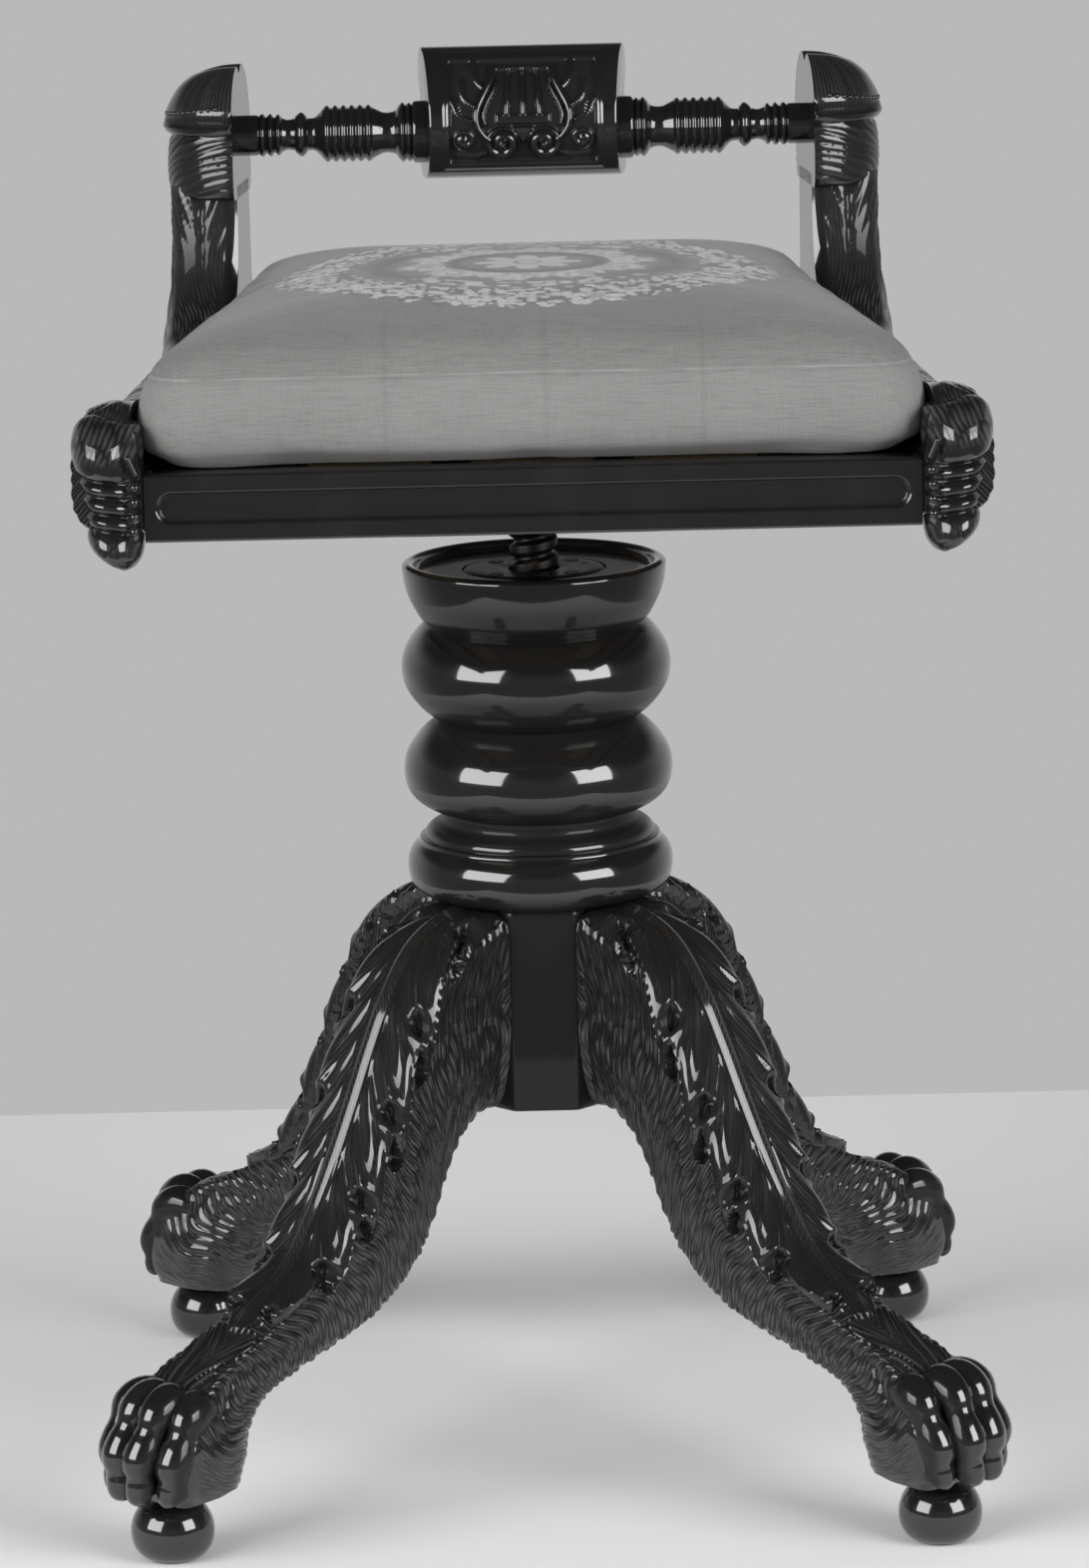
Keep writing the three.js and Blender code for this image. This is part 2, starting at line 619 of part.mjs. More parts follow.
// Glue blocks: a triangle in each corner between rail and arm
function cornerBlock(inside, inward) {
  const y = inside + inward * clearance;
  const far = y + inward * cornerBlockLeg;
  const [nearX, farX] = [innerHalfWidth(y) - clearance, innerHalfWidth(far) - clearance];
  return prism([[nearX, y], [farX, far], [nearX - cornerBlockLeg, y]], boardBottom, boardBottom + cornerBlockHeight);
}

// Slip frame: front and rear members across, side members between them
function slipSide() {
  const low = slipFront + slipFrameWidth + clearance;
  const high = slipRear - slipFrameWidth - clearance;
  const [x1, x2] = [innerHalfWidth(low) - clearance, innerHalfWidth(high) - clearance];
  return prism([[x1 - slipFrameWidth, low], [x1, low], [x2, high], [x2 - slipFrameWidth, high]], slipBottom, slipTop);
}

// Webbing: straps across the slip frame, the cross straps over the long ones
const longStrapBottom = slipTop + clearance;
const crossStrapBottom = longStrapBottom + strapThickness + clearance;
const strapPlaces = [-strapSpacing, 0, strapSpacing];

function longStrap(x) {
  return block([x - strapWidth / 2, x + strapWidth / 2], [slipFront + overrun, slipRear - overrun],
    [longStrapBottom, longStrapBottom + strapThickness]);
}

function crossStrap(y) {
  return betweenArms(y - strapWidth / 2, y + strapWidth / 2, crossStrapBottom,
    crossStrapBottom + strapThickness, overrun);
}

// Cushion: a plan with rounded corners that follows the arms, sides drawn in at their foot,
// and a crown that rises from the edge of the sides.
// Sides: [height as a share of the side, place between the drawn-in foot and the widest line]
const cushionSideShares = [[0, 0], [0.2, 0.65], [0.55, 1], [0.85, 0.9], [1, 0.55]];
const crownPower = 2.2;
const crownSteps = 9;

function cushionPlan(inset) {
  const shape = [];
  const radius = cushionCornerRadius;
  const steps = 6;
  const [front, rear] = [cushionFront + inset, cushionRear - inset];
  const half = (y) => innerHalfWidth(y) - 2 * clearance - inset;
  const corners = [[half(front + radius) - radius, front + radius, -Math.PI / 2],
    [half(rear - radius) - radius, rear - radius, 0],
    [radius - half(rear - radius), rear - radius, Math.PI / 2],
    [radius - half(front + radius), front + radius, Math.PI]];
  for (const [x, y, start] of corners) {
    for (let i = 0; i <= steps; i += 1) {
      const angle = start + i * Math.PI / 2 / steps;
      shape.push([x + radius * Math.cos(angle), y + radius * Math.sin(angle)]);
    }
  }
  return shape;
}

function seatCushion() {
  const rings = cushionSideShares.map(([height, out]) => cushionPlan(cushionTuck * (1 - out))
    .map(([x, y]) => new THREE.Vector3(x, y, cushionBottom + height * cushionSideHeight)));
  const edge = rings.at(-1);
  const middle = (cushionFront + cushionRear) / 2;
  for (let i = 1; i < crownSteps; i += 1) {
    const share = Math.cos(i / crownSteps * Math.PI / 2);
    const rise = cushionCrownHeight * (1 - share ** crownPower) ** (1 / crownPower);
    rings.push(edge.map((point) => new THREE.Vector3(point.x * share, middle + (point.y - middle) * share,
      point.z + rise)));
  }
  return loft(rings);
}

// Arm: lofted between a top and a bottom edge in the arm's own upright plane.
// Rows of [top y, top z, bottom y, bottom z, thickness]. In y 0 is the arm's front end, 1 the
// front of the post and 2 its rear; in z 0 is the underside, 1 the top of the arm and 2 the
// foot of the head; in thickness 0 is the arm and 1 the post.
const armRowShares = [
  [0, 0.88, 0, 0.12, 0], [0.08, 1, 0.08, 0, 0], [0.3, 1, 0.3, 0, 0], [0.55, 1, 0.55, 0, 0],
  [0.73, 1, 0.8, 0, 0], [0.85, 1.03, 0.97, 0, 0], [0.915, 1.13, 1.63, 0.03, 0],
  [0.958, 1.3, 2.04, 0.25, 0.2], [0.985, 1.52, 2.09, 0.76, 0.6], [0.997, 1.78, 2.04, 1.37, 1],
  [1, 2.06, 2, 2.06, 1],
];
// A place between named sizes, or a little past the last, for a share of 0, 1, 2 and so on
function between(share, ...stops) {
  const low = Math.min(Math.floor(share), stops.length - 2);
  return stops[low] + (share - low) * (stops[low + 1] - stops[low]);
}

// Cross-section of an arm: [outward share of the thickness, share of the half depth]
const armSectionShares = [
  [0, -0.93], [0, 0.93], [0.09, 1], [0.5, 1], [0.82, 0.88], [0.97, 0.58], [1, 0.2],
  [1, -0.2], [0.97, -0.58], [0.82, -0.88], [0.5, -1], [0.09, -1],
];

// Head of a post, half of a turned form: neck band below, domed cap above.
// Shares of [head thickness, head height] from the foot up
const headShares = [
  [0.7, 0], [0.78, 0.05], [0.87, 0.22], [0.91, 0.46], [0.985, 0.47], [1, 0.53], [0.95, 0.66],
  [0.8, 0.82], [0.56, 0.93], [0.3, 0.985],
];

// Front terminal: [outward, forward, up, then the radii], as shares of its thickness, reach
// and height: brow, two folds and the lower lobe
const terminalShares = [
  [0.5, 0, 0.66, 0.56, 1.5, 0.34],
  [0.52, 0.55, 0.4, 0.47, 0.62, 0.1],
  [0.52, 0.5, 0.26, 0.46, 0.62, 0.1],
  [0.46, 0.1, 0.14, 0.4, 1.1, 0.2],
];

function armTerminal() {
  const low = railBottom - terminalDrop;
  return terminalShares.map(([out, forward, up, xShare, yShare, zShare]) => bulge(
    [xShare * terminalThickness, yShare * terminalReach, zShare * terminalHeight],
    [out * terminalThickness, armFront - forward * terminalReach, low + up * terminalHeight]));
}

function sideArm() {
  const rings = armRowShares.map(([topY, topZ, bottomY, bottomZ, slim]) => {
    const [y1, y2] = [topY, bottomY].map((share) => between(share, armFront, postFront, postRear));
    const [z1, z2] = [topZ, bottomZ].map((share) => between(share, railBottom, armTop, headBottom));
    const thick = between(slim, armThickness, postThickness);
    return armSectionShares.map(([out, depth]) => new THREE.Vector3(
      out * thick, (y1 + y2) / 2 + depth * (y1 - y2) / 2, (z1 + z2) / 2 + depth * (z1 - z2) / 2));
  });
  const head = turned([[0, headBottom],
    ...headShares.map(([r, z]) => [r * headThickness, headBottom + z * headHeight]),
    [0, headBottom + headHeight]], smallSegments * 2)
    .scale(1, headDepth / (2 * headThickness), 1).translate(0, headCentre, 0);
  const far = 2 * (postRear - armFront);
  const outside = block([0, far], [-far, far], [0, 2 * (headBottom + headHeight)]);
  const body = common(join(loft(rings), head, ...armTerminal()), outside)
    .rotateZ(armSplay).translate(armInnerAtAxis, 0, 0);
  const mortises = [[frontRailFace, 1], [rearRailFace, -1]].map(([face, inward]) => {
    const middle = face + inward * railThickness / 2;
    const half = railTenonThickness / 2 + clearance;
    const high = (railTenonHeight + 2 * clearance) / 2;
    const centre = railBottom + railHeight / 2;
    return betweenArms(middle - half, middle + half, centre - high, centre + high,
      -railTenonLength - clearance);
  });
  const socket = spindleTenon(innerHalfWidth(spindleAxis) - overrun, spindleTenonLength + overrun + clearance,
    clearance);
  return cut(body, ...mortises, socket);
}

// Crest spindle: shares of [way from tablet to post, spindle radius]: collar, rings, cove,
// ribbed barrel, neck, ring, neck, beads and plain end
const spindleShares = [
  [0, 1], [0.085, 1], [0.09, 0.93], [0.115, 0.97], [0.14, 0.9], [0.165, 0.94], [0.19, 0.7],
  [0.235, 0.66], [0.3, 0.8], [0.33, 0.9], [0.355, 0.84], [0.38, 0.9], [0.405, 0.84],
  [0.43, 0.9], [0.455, 0.84], [0.48, 0.9], [0.505, 0.84], [0.53, 0.9], [0.555, 0.8],
  [0.59, 0.52], [0.64, 0.54], [0.69, 0.72], [0.74, 0.56], [0.765, 0.54], [0.8, 0.7],
  [0.83, 0.66], [0.86, 0.7], [0.9, 0.67], [1, 0.67],
];

// A round tenon or its socket along X from a start, at the spindles' height
function spindleTenon(start, length, gap) {
  const radius = spindleTenonRadius + gap;
  return turned([[0, 0], [radius, 0], [radius, length], [0, length]], spindleSegments)
    .rotateY(Math.PI / 2).translate(start, spindleAxis, spindleHeight);
}

function crestSpindle() {
  const start = tabletHalf(spindleAxis + spindleRadius) + clearance;
  const end = innerHalfWidth(spindleAxis + spindleRadius) - clearance;
  const outline = spindleShares.map(([way, r]) => [r * spindleRadius, start + way * (end - start)]);
  const inner = tabletHalf(spindleAxis) - spindleTenonLength;
  const outer = innerHalfWidth(spindleAxis) + spindleTenonLength;
  return turned([[0, inner], [spindleTenonRadius, inner], [spindleTenonRadius, start], ...outline,
    [spindleTenonRadius, end], [spindleTenonRadius, outer], [0, outer]], spindleSegments)
    .rotateY(Math.PI / 2).translate(0, spindleAxis, spindleHeight);
}

// Crest tablet: side profile as shares of [depth, height]: bowed front, rolled top, notch and back
const tabletShares = [
  [0.36, 0.02], [0.17, 0.1], [0.05, 0.25], [0, 0.42], [0.04, 0.6], [0.16, 0.77], [0.33, 0.91],
  [0.53, 0.985], [0.74, 1], [0.9, 0.94], [0.97, 0.82], [0.9, 0.7], [0.74, 0.66], [0.88, 0.58],
  [0.97, 0.42], [1, 0.25], [0.9, 0.08], [0.7, 0],
];

function crestTablet() {
  const shape = new THREE.Shape(tabletShares.map(([y, z]) => new THREE.Vector2(y * tabletDepth, z * tabletHeight)));
  const bar = new THREE.ExtrudeGeometry(shape, { depth: 2, bevelEnabled: false }).translate(0, 0, -1);
  const position = bar.attributes.position;
  for (let i = 0; i < position.count; i += 1) {
    const y = tabletFront + position.getX(i);
    const z = railBottom + tabletBottomRise + position.getY(i);
    position.setXYZ(i, position.getZ(i) * tabletHalf(y), y, z);
  }
  const start = tabletHalf(spindleAxis) - spindleTenonLength - clearance;
  const socket = spindleTenon(start, spindleTenonLength + overrun + tabletDepth * tabletEndFlare, clearance);
  return cut(closedBody(bar), socket, mirrored(socket));
}

// The base
place('hub_block', hubBlock(), ebonised);
for (const [corner, angle] of quarters) {
  place(`leg_${corner}`, legBody().rotateZ(angle), ebonised);
  const [x, y] = [footReach * Math.cos(angle), footReach * Math.sin(angle)];
  place(`ball_foot_${corner}`, ballFoot().translate(x, y, 0), ebonised);
}
place('turned_column', turnedColumn(), ebonised);
place('screw_nut', screwNut(), iron);
ringOf(nutScrewCircle).forEach(([x, y], i) => {
  place(`nut_screw_${i + 1}`, woodScrew(recessFloor, nutScrewLength).translate(x, y, 0), iron);
});

// What rises with the seat
place('thrust_washer', ring(screwNeckRadius + clearance, washerRadius, washerBottom, washerTop, columnSegments), iron);

// The seat
place('lift_screw', liftScrew(), iron);
place('seat_plate', seatPlate(), iron);
ringOf(plateScrewCircle).forEach(([x, y], i) => {
  const screw = turnedOver(woodScrew(plateBottom, plateScrewLength), plateBottom);
  place(`plate_screw_${i + 1}`, screw.translate(x, y, 0), iron);
});
place('cross_board', crossBoard(), rawWood);
place('front_rail', cut(seatRail(frontRailFace, 1), frontPanel()), ebonised);
place('rear_rail', seatRail(rearRailFace, -1), ebonised);
const rightArm = sideArm();
place('side_arm_right', rightArm, ebonised);
place('side_arm_left', mirrored(rightArm), ebonised);
for (const [end, face, inward] of [['front', frontRailFace, 1], ['rear', rearRailFace, -1]]) {
  const corner = cornerBlock(face + inward * railThickness, inward);
  place(`corner_block_${end}_right`, corner, rawWood);
  place(`corner_block_${end}_left`, mirrored(corner), rawWood);
}
place('slip_frame_front', betweenArms(slipFront, slipFront + slipFrameWidth, slipBottom, slipTop), rawWood);
place('slip_frame_rear', betweenArms(slipRear - slipFrameWidth, slipRear, slipBottom, slipTop), rawWood);
const rightSlip = slipSide();
place('slip_frame_right', rightSlip, rawWood);
place('slip_frame_left', mirrored(rightSlip), rawWood);
strapPlaces.forEach((spot, i) => {
  place(`webbing_long_${i + 1}`, longStrap(spot), jute);
  place(`webbing_cross_${i + 1}`, crossStrap(spot), jute);
});
place('seat_cushion', seatCushion(), silk);
place('crest_tablet', crestTablet(), ebonised);
const rightSpindle = crestSpindle();
place('crest_spindle_right', rightSpindle, ebonised);
place('crest_spindle_left', mirrored(rightSpindle), ebonised);

export default stool;
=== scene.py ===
"""Revolving piano stool: carved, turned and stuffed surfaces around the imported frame.

Sizes are in millimetres while a surface is worked out, and become metres when its mesh is made.
"""
import logging
import math
from dataclasses import dataclass, field
from enum import Enum
from typing import Any, ClassVar, Optional, Sequence, Union

import bpy
import numpy as np
from mathutils import Matrix, Vector


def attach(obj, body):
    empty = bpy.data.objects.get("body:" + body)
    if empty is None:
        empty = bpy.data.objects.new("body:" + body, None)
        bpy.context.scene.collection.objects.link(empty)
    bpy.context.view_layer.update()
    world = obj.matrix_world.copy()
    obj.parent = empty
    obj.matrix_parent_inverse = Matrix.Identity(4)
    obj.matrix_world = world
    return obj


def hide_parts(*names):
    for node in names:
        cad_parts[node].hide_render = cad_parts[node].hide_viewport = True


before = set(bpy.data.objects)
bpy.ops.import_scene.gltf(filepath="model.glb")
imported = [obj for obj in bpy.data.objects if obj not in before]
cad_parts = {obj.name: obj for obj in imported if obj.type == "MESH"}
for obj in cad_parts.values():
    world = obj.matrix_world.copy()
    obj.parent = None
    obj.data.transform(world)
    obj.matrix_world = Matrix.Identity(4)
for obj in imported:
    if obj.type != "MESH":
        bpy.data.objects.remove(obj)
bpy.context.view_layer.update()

MILLIMETRE = 0.001
# Height of the crease round the cushion, drawn in by its mesh and with a painted highlight along it in its
# cloth
CREASE_HEIGHT = 494.5
log = logging.getLogger("piano_stool")


class Body(Enum):
    """The bodies that pieces ride on: what stands still, and what turns and rises."""
    BASE = "base"
    SEAT = "seat"


class Corner(Enum):
    """The four legs, each with the angle of its upright plane in degrees."""
    REAR_RIGHT = 45
    REAR_LEFT = 135
    FRONT_LEFT = 225
    FRONT_RIGHT = 315

    @property
    def label(self) -> str:
        """The corner's name as the frame's nodes write it."""
        return self.name.lower()


class Side(Enum):
    """The two sides of the seat, each with the sign of X there."""
    LEFT = -1
    RIGHT = 1

    @property
    def label(self) -> str:
        """The side's name as the frame's nodes write it."""
        return self.name.lower()


# Curves, fields and surfaces


def smooth(value: np.ndarray, low: Any, high: Any) -> np.ndarray:
    """Rise from 0 at low to 1 at high along 3t^2 - 2t^3.

    Args:
        value: Where the rise is wanted.
        low: Where it starts.
        high: Where it ends.

    Returns:
        The share from 0 to 1, in the shape of value.
    """
    t = np.clip((value - low) / (high - low), 0, 1)
    return t * t * (3 - 2 * t)


def bell(value: np.ndarray, width: Any) -> np.ndarray:
    """A bell exp(-(value / width)^2) about zero.

    Args:
        value: Distance from the middle.
        width: Where the bell has fallen to 1/e.

    Returns:
        The bell's height from 0 to 1.
    """
    return np.exp(-(value / width) ** 2)


def curve_through(knots: Any, count: int, closed: bool = False) -> np.ndarray:
    """A Catmull-Rom curve: between two knots a cubic whose end slopes are half the chord of the neighbours.

    Args:
        knots: Rows of coordinates that the curve passes.
        count: How many points to work out.
        closed: Whether the last knot leads back to the first.

    Returns:
        Points along the curve, one a row.
    """
    knots = np.asarray(knots, float)
    if closed:
        padded = np.vstack([knots[-1:], knots, knots[:2]])
    else:
        padded = np.vstack([2 * knots[0] - knots[1], knots, 2 * knots[-1] - knots[-2]])
    spans = len(knots) if closed else len(knots) - 1
    t = np.linspace(0, spans, count, endpoint=not closed)
    i = np.minimum(t.astype(int), spans - 1)
    f = (t - i)[:, None]
    a, b, c, d = padded[i], padded[i + 1], padded[i + 2], padded[i + 3]
    return 0.5 * (2 * b + (c - a) * f + (2 * a - 5 * b + 4 * c - d) * f ** 2
                  + (3 * b - a - 3 * c + d) * f ** 3)


def distances(line: np.ndarray) -> np.ndarray:
    """Distance of each point from the line's start: the running sum of the lengths of its steps.

    Args:
        line: Points along the line, one a row.

    Returns:
        The distances, from 0.
    """
    return np.concatenate([[0], np.cumsum(np.linalg.norm(np.diff(line, axis=0), axis=1))])


def evenly(line: np.ndarray, count: int, closed: bool = False) -> np.ndarray:
    """The same line with its points at equal distances.

    Args:
        line: Points along the line.
        count: How many points to give back.
        closed: Whether the line leads back to its start, whose point isn't repeated.

    Returns:
        The points, one a row.
    """
    track = np.vstack([line, line[:1]]) if closed else line
    length = distances(track)
    places = np.linspace(0, length[-1], count, endpoint=not closed)
    return np.stack([np.interp(places, length, axis) for axis in track.T], 1)


def weighed(knots: Any, weights: Sequence[float], count: int) -> np.ndarray:
    """Rows of values along a curve, at distances that are equal once each value counts by its weight.

    Args:
        knots: Rows of values that the curve passes.
        weights: Weight of each column.
        count: How many rows to give back.

    Returns:
        The rows.
    """
    return evenly(curve_through(knots, 1500) * weights, count) / weights


def cornered(pieces: Sequence[Any], count: int) -> np.ndarray:
    """A line of smooth stretches with a sharp corner where two of them meet.

    Args:
        pieces: The knots of each stretch; each starts where the last one ended.
        count: How many points to give back, at equal distances.

    Returns:
        The points, one a row.
    """
    return evenly(np.vstack([curve_through(knots, 60) for knots in pieces]), count)


def straight(knots: list, counts: Any, closed: bool = True) -> np.ndarray:
    """A line of straight stretches, without the last point of each stretch.

    Args:
        knots: The corners of the line.
        counts: Points in each stretch, as one number or a list.
        closed: Whether the last knot leads back to the first.

    Returns:
        The points, one a row.
    """
    ends = knots[1:] + knots[:1] if closed else knots[1:]
    spans = zip(knots, ends, np.broadcast_to(counts, len(knots)))
    return np.vstack([np.linspace(start, end, count, endpoint=False) for start, end, count in spans])


def normals_of(grid: np.ndarray) -> np.ndarray:
    """Unit normals of a grid: the cross product of its differences along and around, out of its rings.

    Args:
        grid: Points, as rows of rings that lead back to their start.

    Returns:
        One unit normal a point.
    """
    along = np.gradient(grid, axis=0)
    around = (np.roll(grid, -1, 1) - np.roll(grid, 1, 1)) / 2
    normal = np.cross(around, along)
    normal /= np.maximum(np.linalg.norm(normal, axis=2, keepdims=True), 1e-9)
    outward = grid - grid.mean(axis=1, keepdims=True)
    return normal * (1.0 if np.sum(normal * outward) > 0 else -1.0)


def turned_about(points: np.ndarray, degrees: float) -> np.ndarray:
    """The points turned about Z: x cos - y sin and x sin + y cos.

    Args:
        points: Points with their coordinates last.
        degrees: The angle, counterclockwise from above.

    Returns:
        The turned points.
    """
    angle = math.radians(degrees)
    cosine, sine = math.cos(angle), math.sin(angle)
    x, y, z = points[..., 0], points[..., 1], points[..., 2]
    return np.stack([x * cosine - y * sine, x * sine + y * cosine, z], -1)


def about_axis(radius: np.ndarray, angle: np.ndarray, height: np.ndarray) -> np.ndarray:
    """Points about Z: radius times the angle's cosine and sine, at their height.

    Args:
        radius: Distance from the axis.
        angle: Angle round the axis, in radians.
        height: Height of the points.

    Returns:
        The grid of points.
    """
    return np.stack([radius * np.cos(angle), radius * np.sin(angle), height + 0 * radius * angle], -1)


def full_turn(count: int) -> np.ndarray:
    """Angles round a full turn, without the one that comes back to the start.

    Args:
        count: How many angles.

    Returns:
        The angles, in radians.
    """
    return np.linspace(0, 2 * math.pi, count, endpoint=False)


def lathe(profile: np.ndarray, segments: int) -> np.ndarray:
    """A profile turned about Z.

    Args:
        profile: Rows of radius and height.
        segments: Points in each ring.

    Returns:
        The grid of rings.
    """
    return about_axis(profile[:, :1], full_turn(segments), profile[:, 1:])


def tube(path: np.ndarray, radii: np.ndarray, segments: int) -> np.ndarray:
    """Rings square to a path: its points plus radius times (cosine of the angle times one side
    vector, plus sine times the other).

    Args:
        path: Points of the middle line.
        radii: Radius at each point.
        segments: Points in each ring.

    Returns:
        The grid of rings.
    """
    ahead = np.gradient(path, axis=0)
    ahead /= np.linalg.norm(ahead, axis=1, keepdims=True)
    across = np.cross(ahead, np.array([0.31, 0.87, 0.38]))
    across /= np.linalg.norm(across, axis=1, keepdims=True)
    other = np.cross(ahead, across)
    angle = full_turn(segments)[None, :, None]
    ring = np.cos(angle) * across[:, None] + np.sin(angle) * other[:, None]
    return path[:, None] + ring * np.asarray(radii)[:, None, None]


def bead(centre: Sequence[float], radius: float) -> np.ndarray:
    """A small ball as rings: radius times the sine of the polar angle, at its cosine.

    Args:
        centre: The ball's middle.
        radius: The ball's radius.

    Returns:
        The grid of rings.
    """
    polar = np.linspace(0.2, math.pi - 0.2, 7)
    return lathe(np.stack([radius * np.sin(polar), -radius * np.cos(polar)], 1), 12) + np.asarray(centre)


def strand_relief(x: np.ndarray, z: np.ndarray, path: Any, width: Any, closed: bool = False) -> np.ndarray:
    """A raised cord drawn on a face: the square root of 1 - (distance to the path / half width)^2.

    Args:
        x: First coordinate of the face's points.
        z: Second coordinate of the face's points.
        path: Knots of the cord's middle line.
        width: Half width, or one at each end of the path.
        closed: Whether the path is a loop.

    Returns:
        The cord's height from 0 to 1 at each point.
    """
    line = curve_through(path, 90, closed)
    half = np.interp(np.linspace(0, 1, 90), [0, 1], np.broadcast_to(width, 2))
    distance = np.hypot(x[..., None] - line[:, 0], z[..., None] - line[:, 1]) / half
    return np.sqrt(np.clip(1 - distance.min(-1) ** 2, 0, 1))


@dataclass
class Leafage:
    """What carving adds to a plain surface.

    Attributes:
        height: How far the surface is raised, in millimetres.
        hollow: Share of shade and dust, from 0 to 1.
        strand: Count of the strands of hair or veins that a point has passed.
        hair: How deep those strands are cut, from 0 to 1.
        run: Distance along the strands, counted in locks.
    """
    height: Any = 0.0
    hollow: Any = 0.0
    strand: Any = 0.0
    hair: Any = 0.0
    run: Any = 0.0


def locks(place: np.ndarray, run: np.ndarray) -> np.ndarray:
    """Tapered locks of hair in rows, each row with its own start.

    A row is a whole step of the place. A lock's width is sin(pi t)^0.6 of the row, with t the
    fraction of (run + the row's own lot), and its height is that width times 1 - (distance from
    its middle / half width)^2.

    Args:
        place: Distance across the rows, in rows.
        run: Distance along the rows, in locks.

    Returns:
        The locks' height from 0 to 1.
    """
    row = np.floor(place)
    lot = np.sin(row * 12.9898) * 437.585
    share = run + lot
    width = np.sin(math.pi * (share - np.floor(share))) ** 0.6
    aside = 2 * (place - row - 0.5) / np.maximum(width, 0.15)
    return width * np.clip(1 - aside ** 2, 0, 1)


def acanthus(along: np.ndarray, across: np.ndarray, edge: np.ndarray, pitch: float) -> Leafage:
    """An acanthus leaf with a middle rib, and lobes that peel off it and sweep outwards.

    A lobe is one step of (along - sweep) / pitch, with the sweep 8 (1 - exp(-away / 5)) + 1.5 away,
    so that its lines leave the rib steeply and fan out. Each lobe is folded along those lines, with
    |cos| of two half turns. Pipes run beside the rib, |cos| of the distance from it. The rim reaches
    out to the lobe's end, which is raised and overlaps the next lobe, and under it there is a deep eye.

    Args:
        along: Distance along the rib, in millimetres.
        across: Signed distance from the rib.
        edge: Distance from rib to the leaf's edge.
        pitch: Length of a lobe.

    Returns:
        The leaf, with nothing outside its edge.
    """
    away = np.abs(across)
    edge = np.maximum(edge, 0.5) + 0 * away
    phase = (along - 8 * (1 - np.exp(-away / 5)) - 1.5 * away) / pitch
    lobe = phase - np.floor(phase)
    fold = np.abs(np.cos(2 * math.pi * lobe)) ** 1.2
    folded = smooth(away, 4, 9)
    beside = 1 - smooth(away, 4.5, 8)
    pipes = np.abs(np.cos(math.pi * away / 2.6)) ** 1.2
    closing = smooth(lobe, 0.93, 1.0)
    notch = np.minimum(8.0, 0.34 * edge)
    rim = edge - notch * np.maximum((1 - smooth(lobe, 0.03, 0.88)) ** 1.2, closing)
    leaf = (1 - smooth(away, rim - 2.4, rim + 1.6)) * smooth(edge, 1, 21)
    from_lobe = np.where(lobe < 0.5, lobe, lobe - 1) * pitch
    from_eye_line = away - 0.64 * edge
    from_eye = np.hypot(from_lobe + 1.5 * from_eye_line, 0.9 * from_eye_line) / 4.4
    has_eye = smooth(edge, 8, 15)
    eye = np.exp(-from_eye ** 4) * has_eye
    lobe_end = smooth(lobe, 0.25, 0.93) * (1 - closing) * smooth(away / edge, 0.2, 0.85)
    height = (2.0 + 2.9 * lobe_end + 1.1 * (fold - 0.5) * folded + 0.7 * (pipes - 0.5) * beside
              + 0.3 * bell(from_eye - 1.45, 0.35) * has_eye - 3.8 * eye
              + 0.9 * bell(away - rim + 1.6, 1.2) + 1.8 * bell(away, 2.4))
    # Painted shade: deep in the eyes, in the folds and between the pipes, and a little over the whole leaf
    hollow = 1.3 * eye + 0.4 * (1 - fold) * smooth(away, 5, 9) + 0.3 * (1 - pipes) * beside + 0.2
    return Leafage(leaf * height, leaf * np.clip(hollow, 0, 1), 12 * phase, 0.1 * leaf)


def whorl(x: np.ndarray, z: np.ndarray, radius: float, turns: float, hand: float = 1.0) -> np.ndarray:
    """A spiral scroll: |sin| of (distance from the eye times turns - half the angle), inside a radius.

    Args:
        x: First coordinate from the eye.
        z: Second coordinate from the eye.
        radius: Outer radius of the scroll.
        turns: How many times it winds.
        hand: 1 or -1, the way it winds.

    Returns:
        The scroll's height from 0 to 1.
    """
    away = np.hypot(x, z)
    spiral = np.abs(np.sin(math.pi * turns * away / radius - hand * np.arctan2(z, x) / 2))
    return spiral ** 0.7 * (1 - smooth(away, 0.86 * radius, radius)) + 0.6 * bell(away, 0.16 * radius)


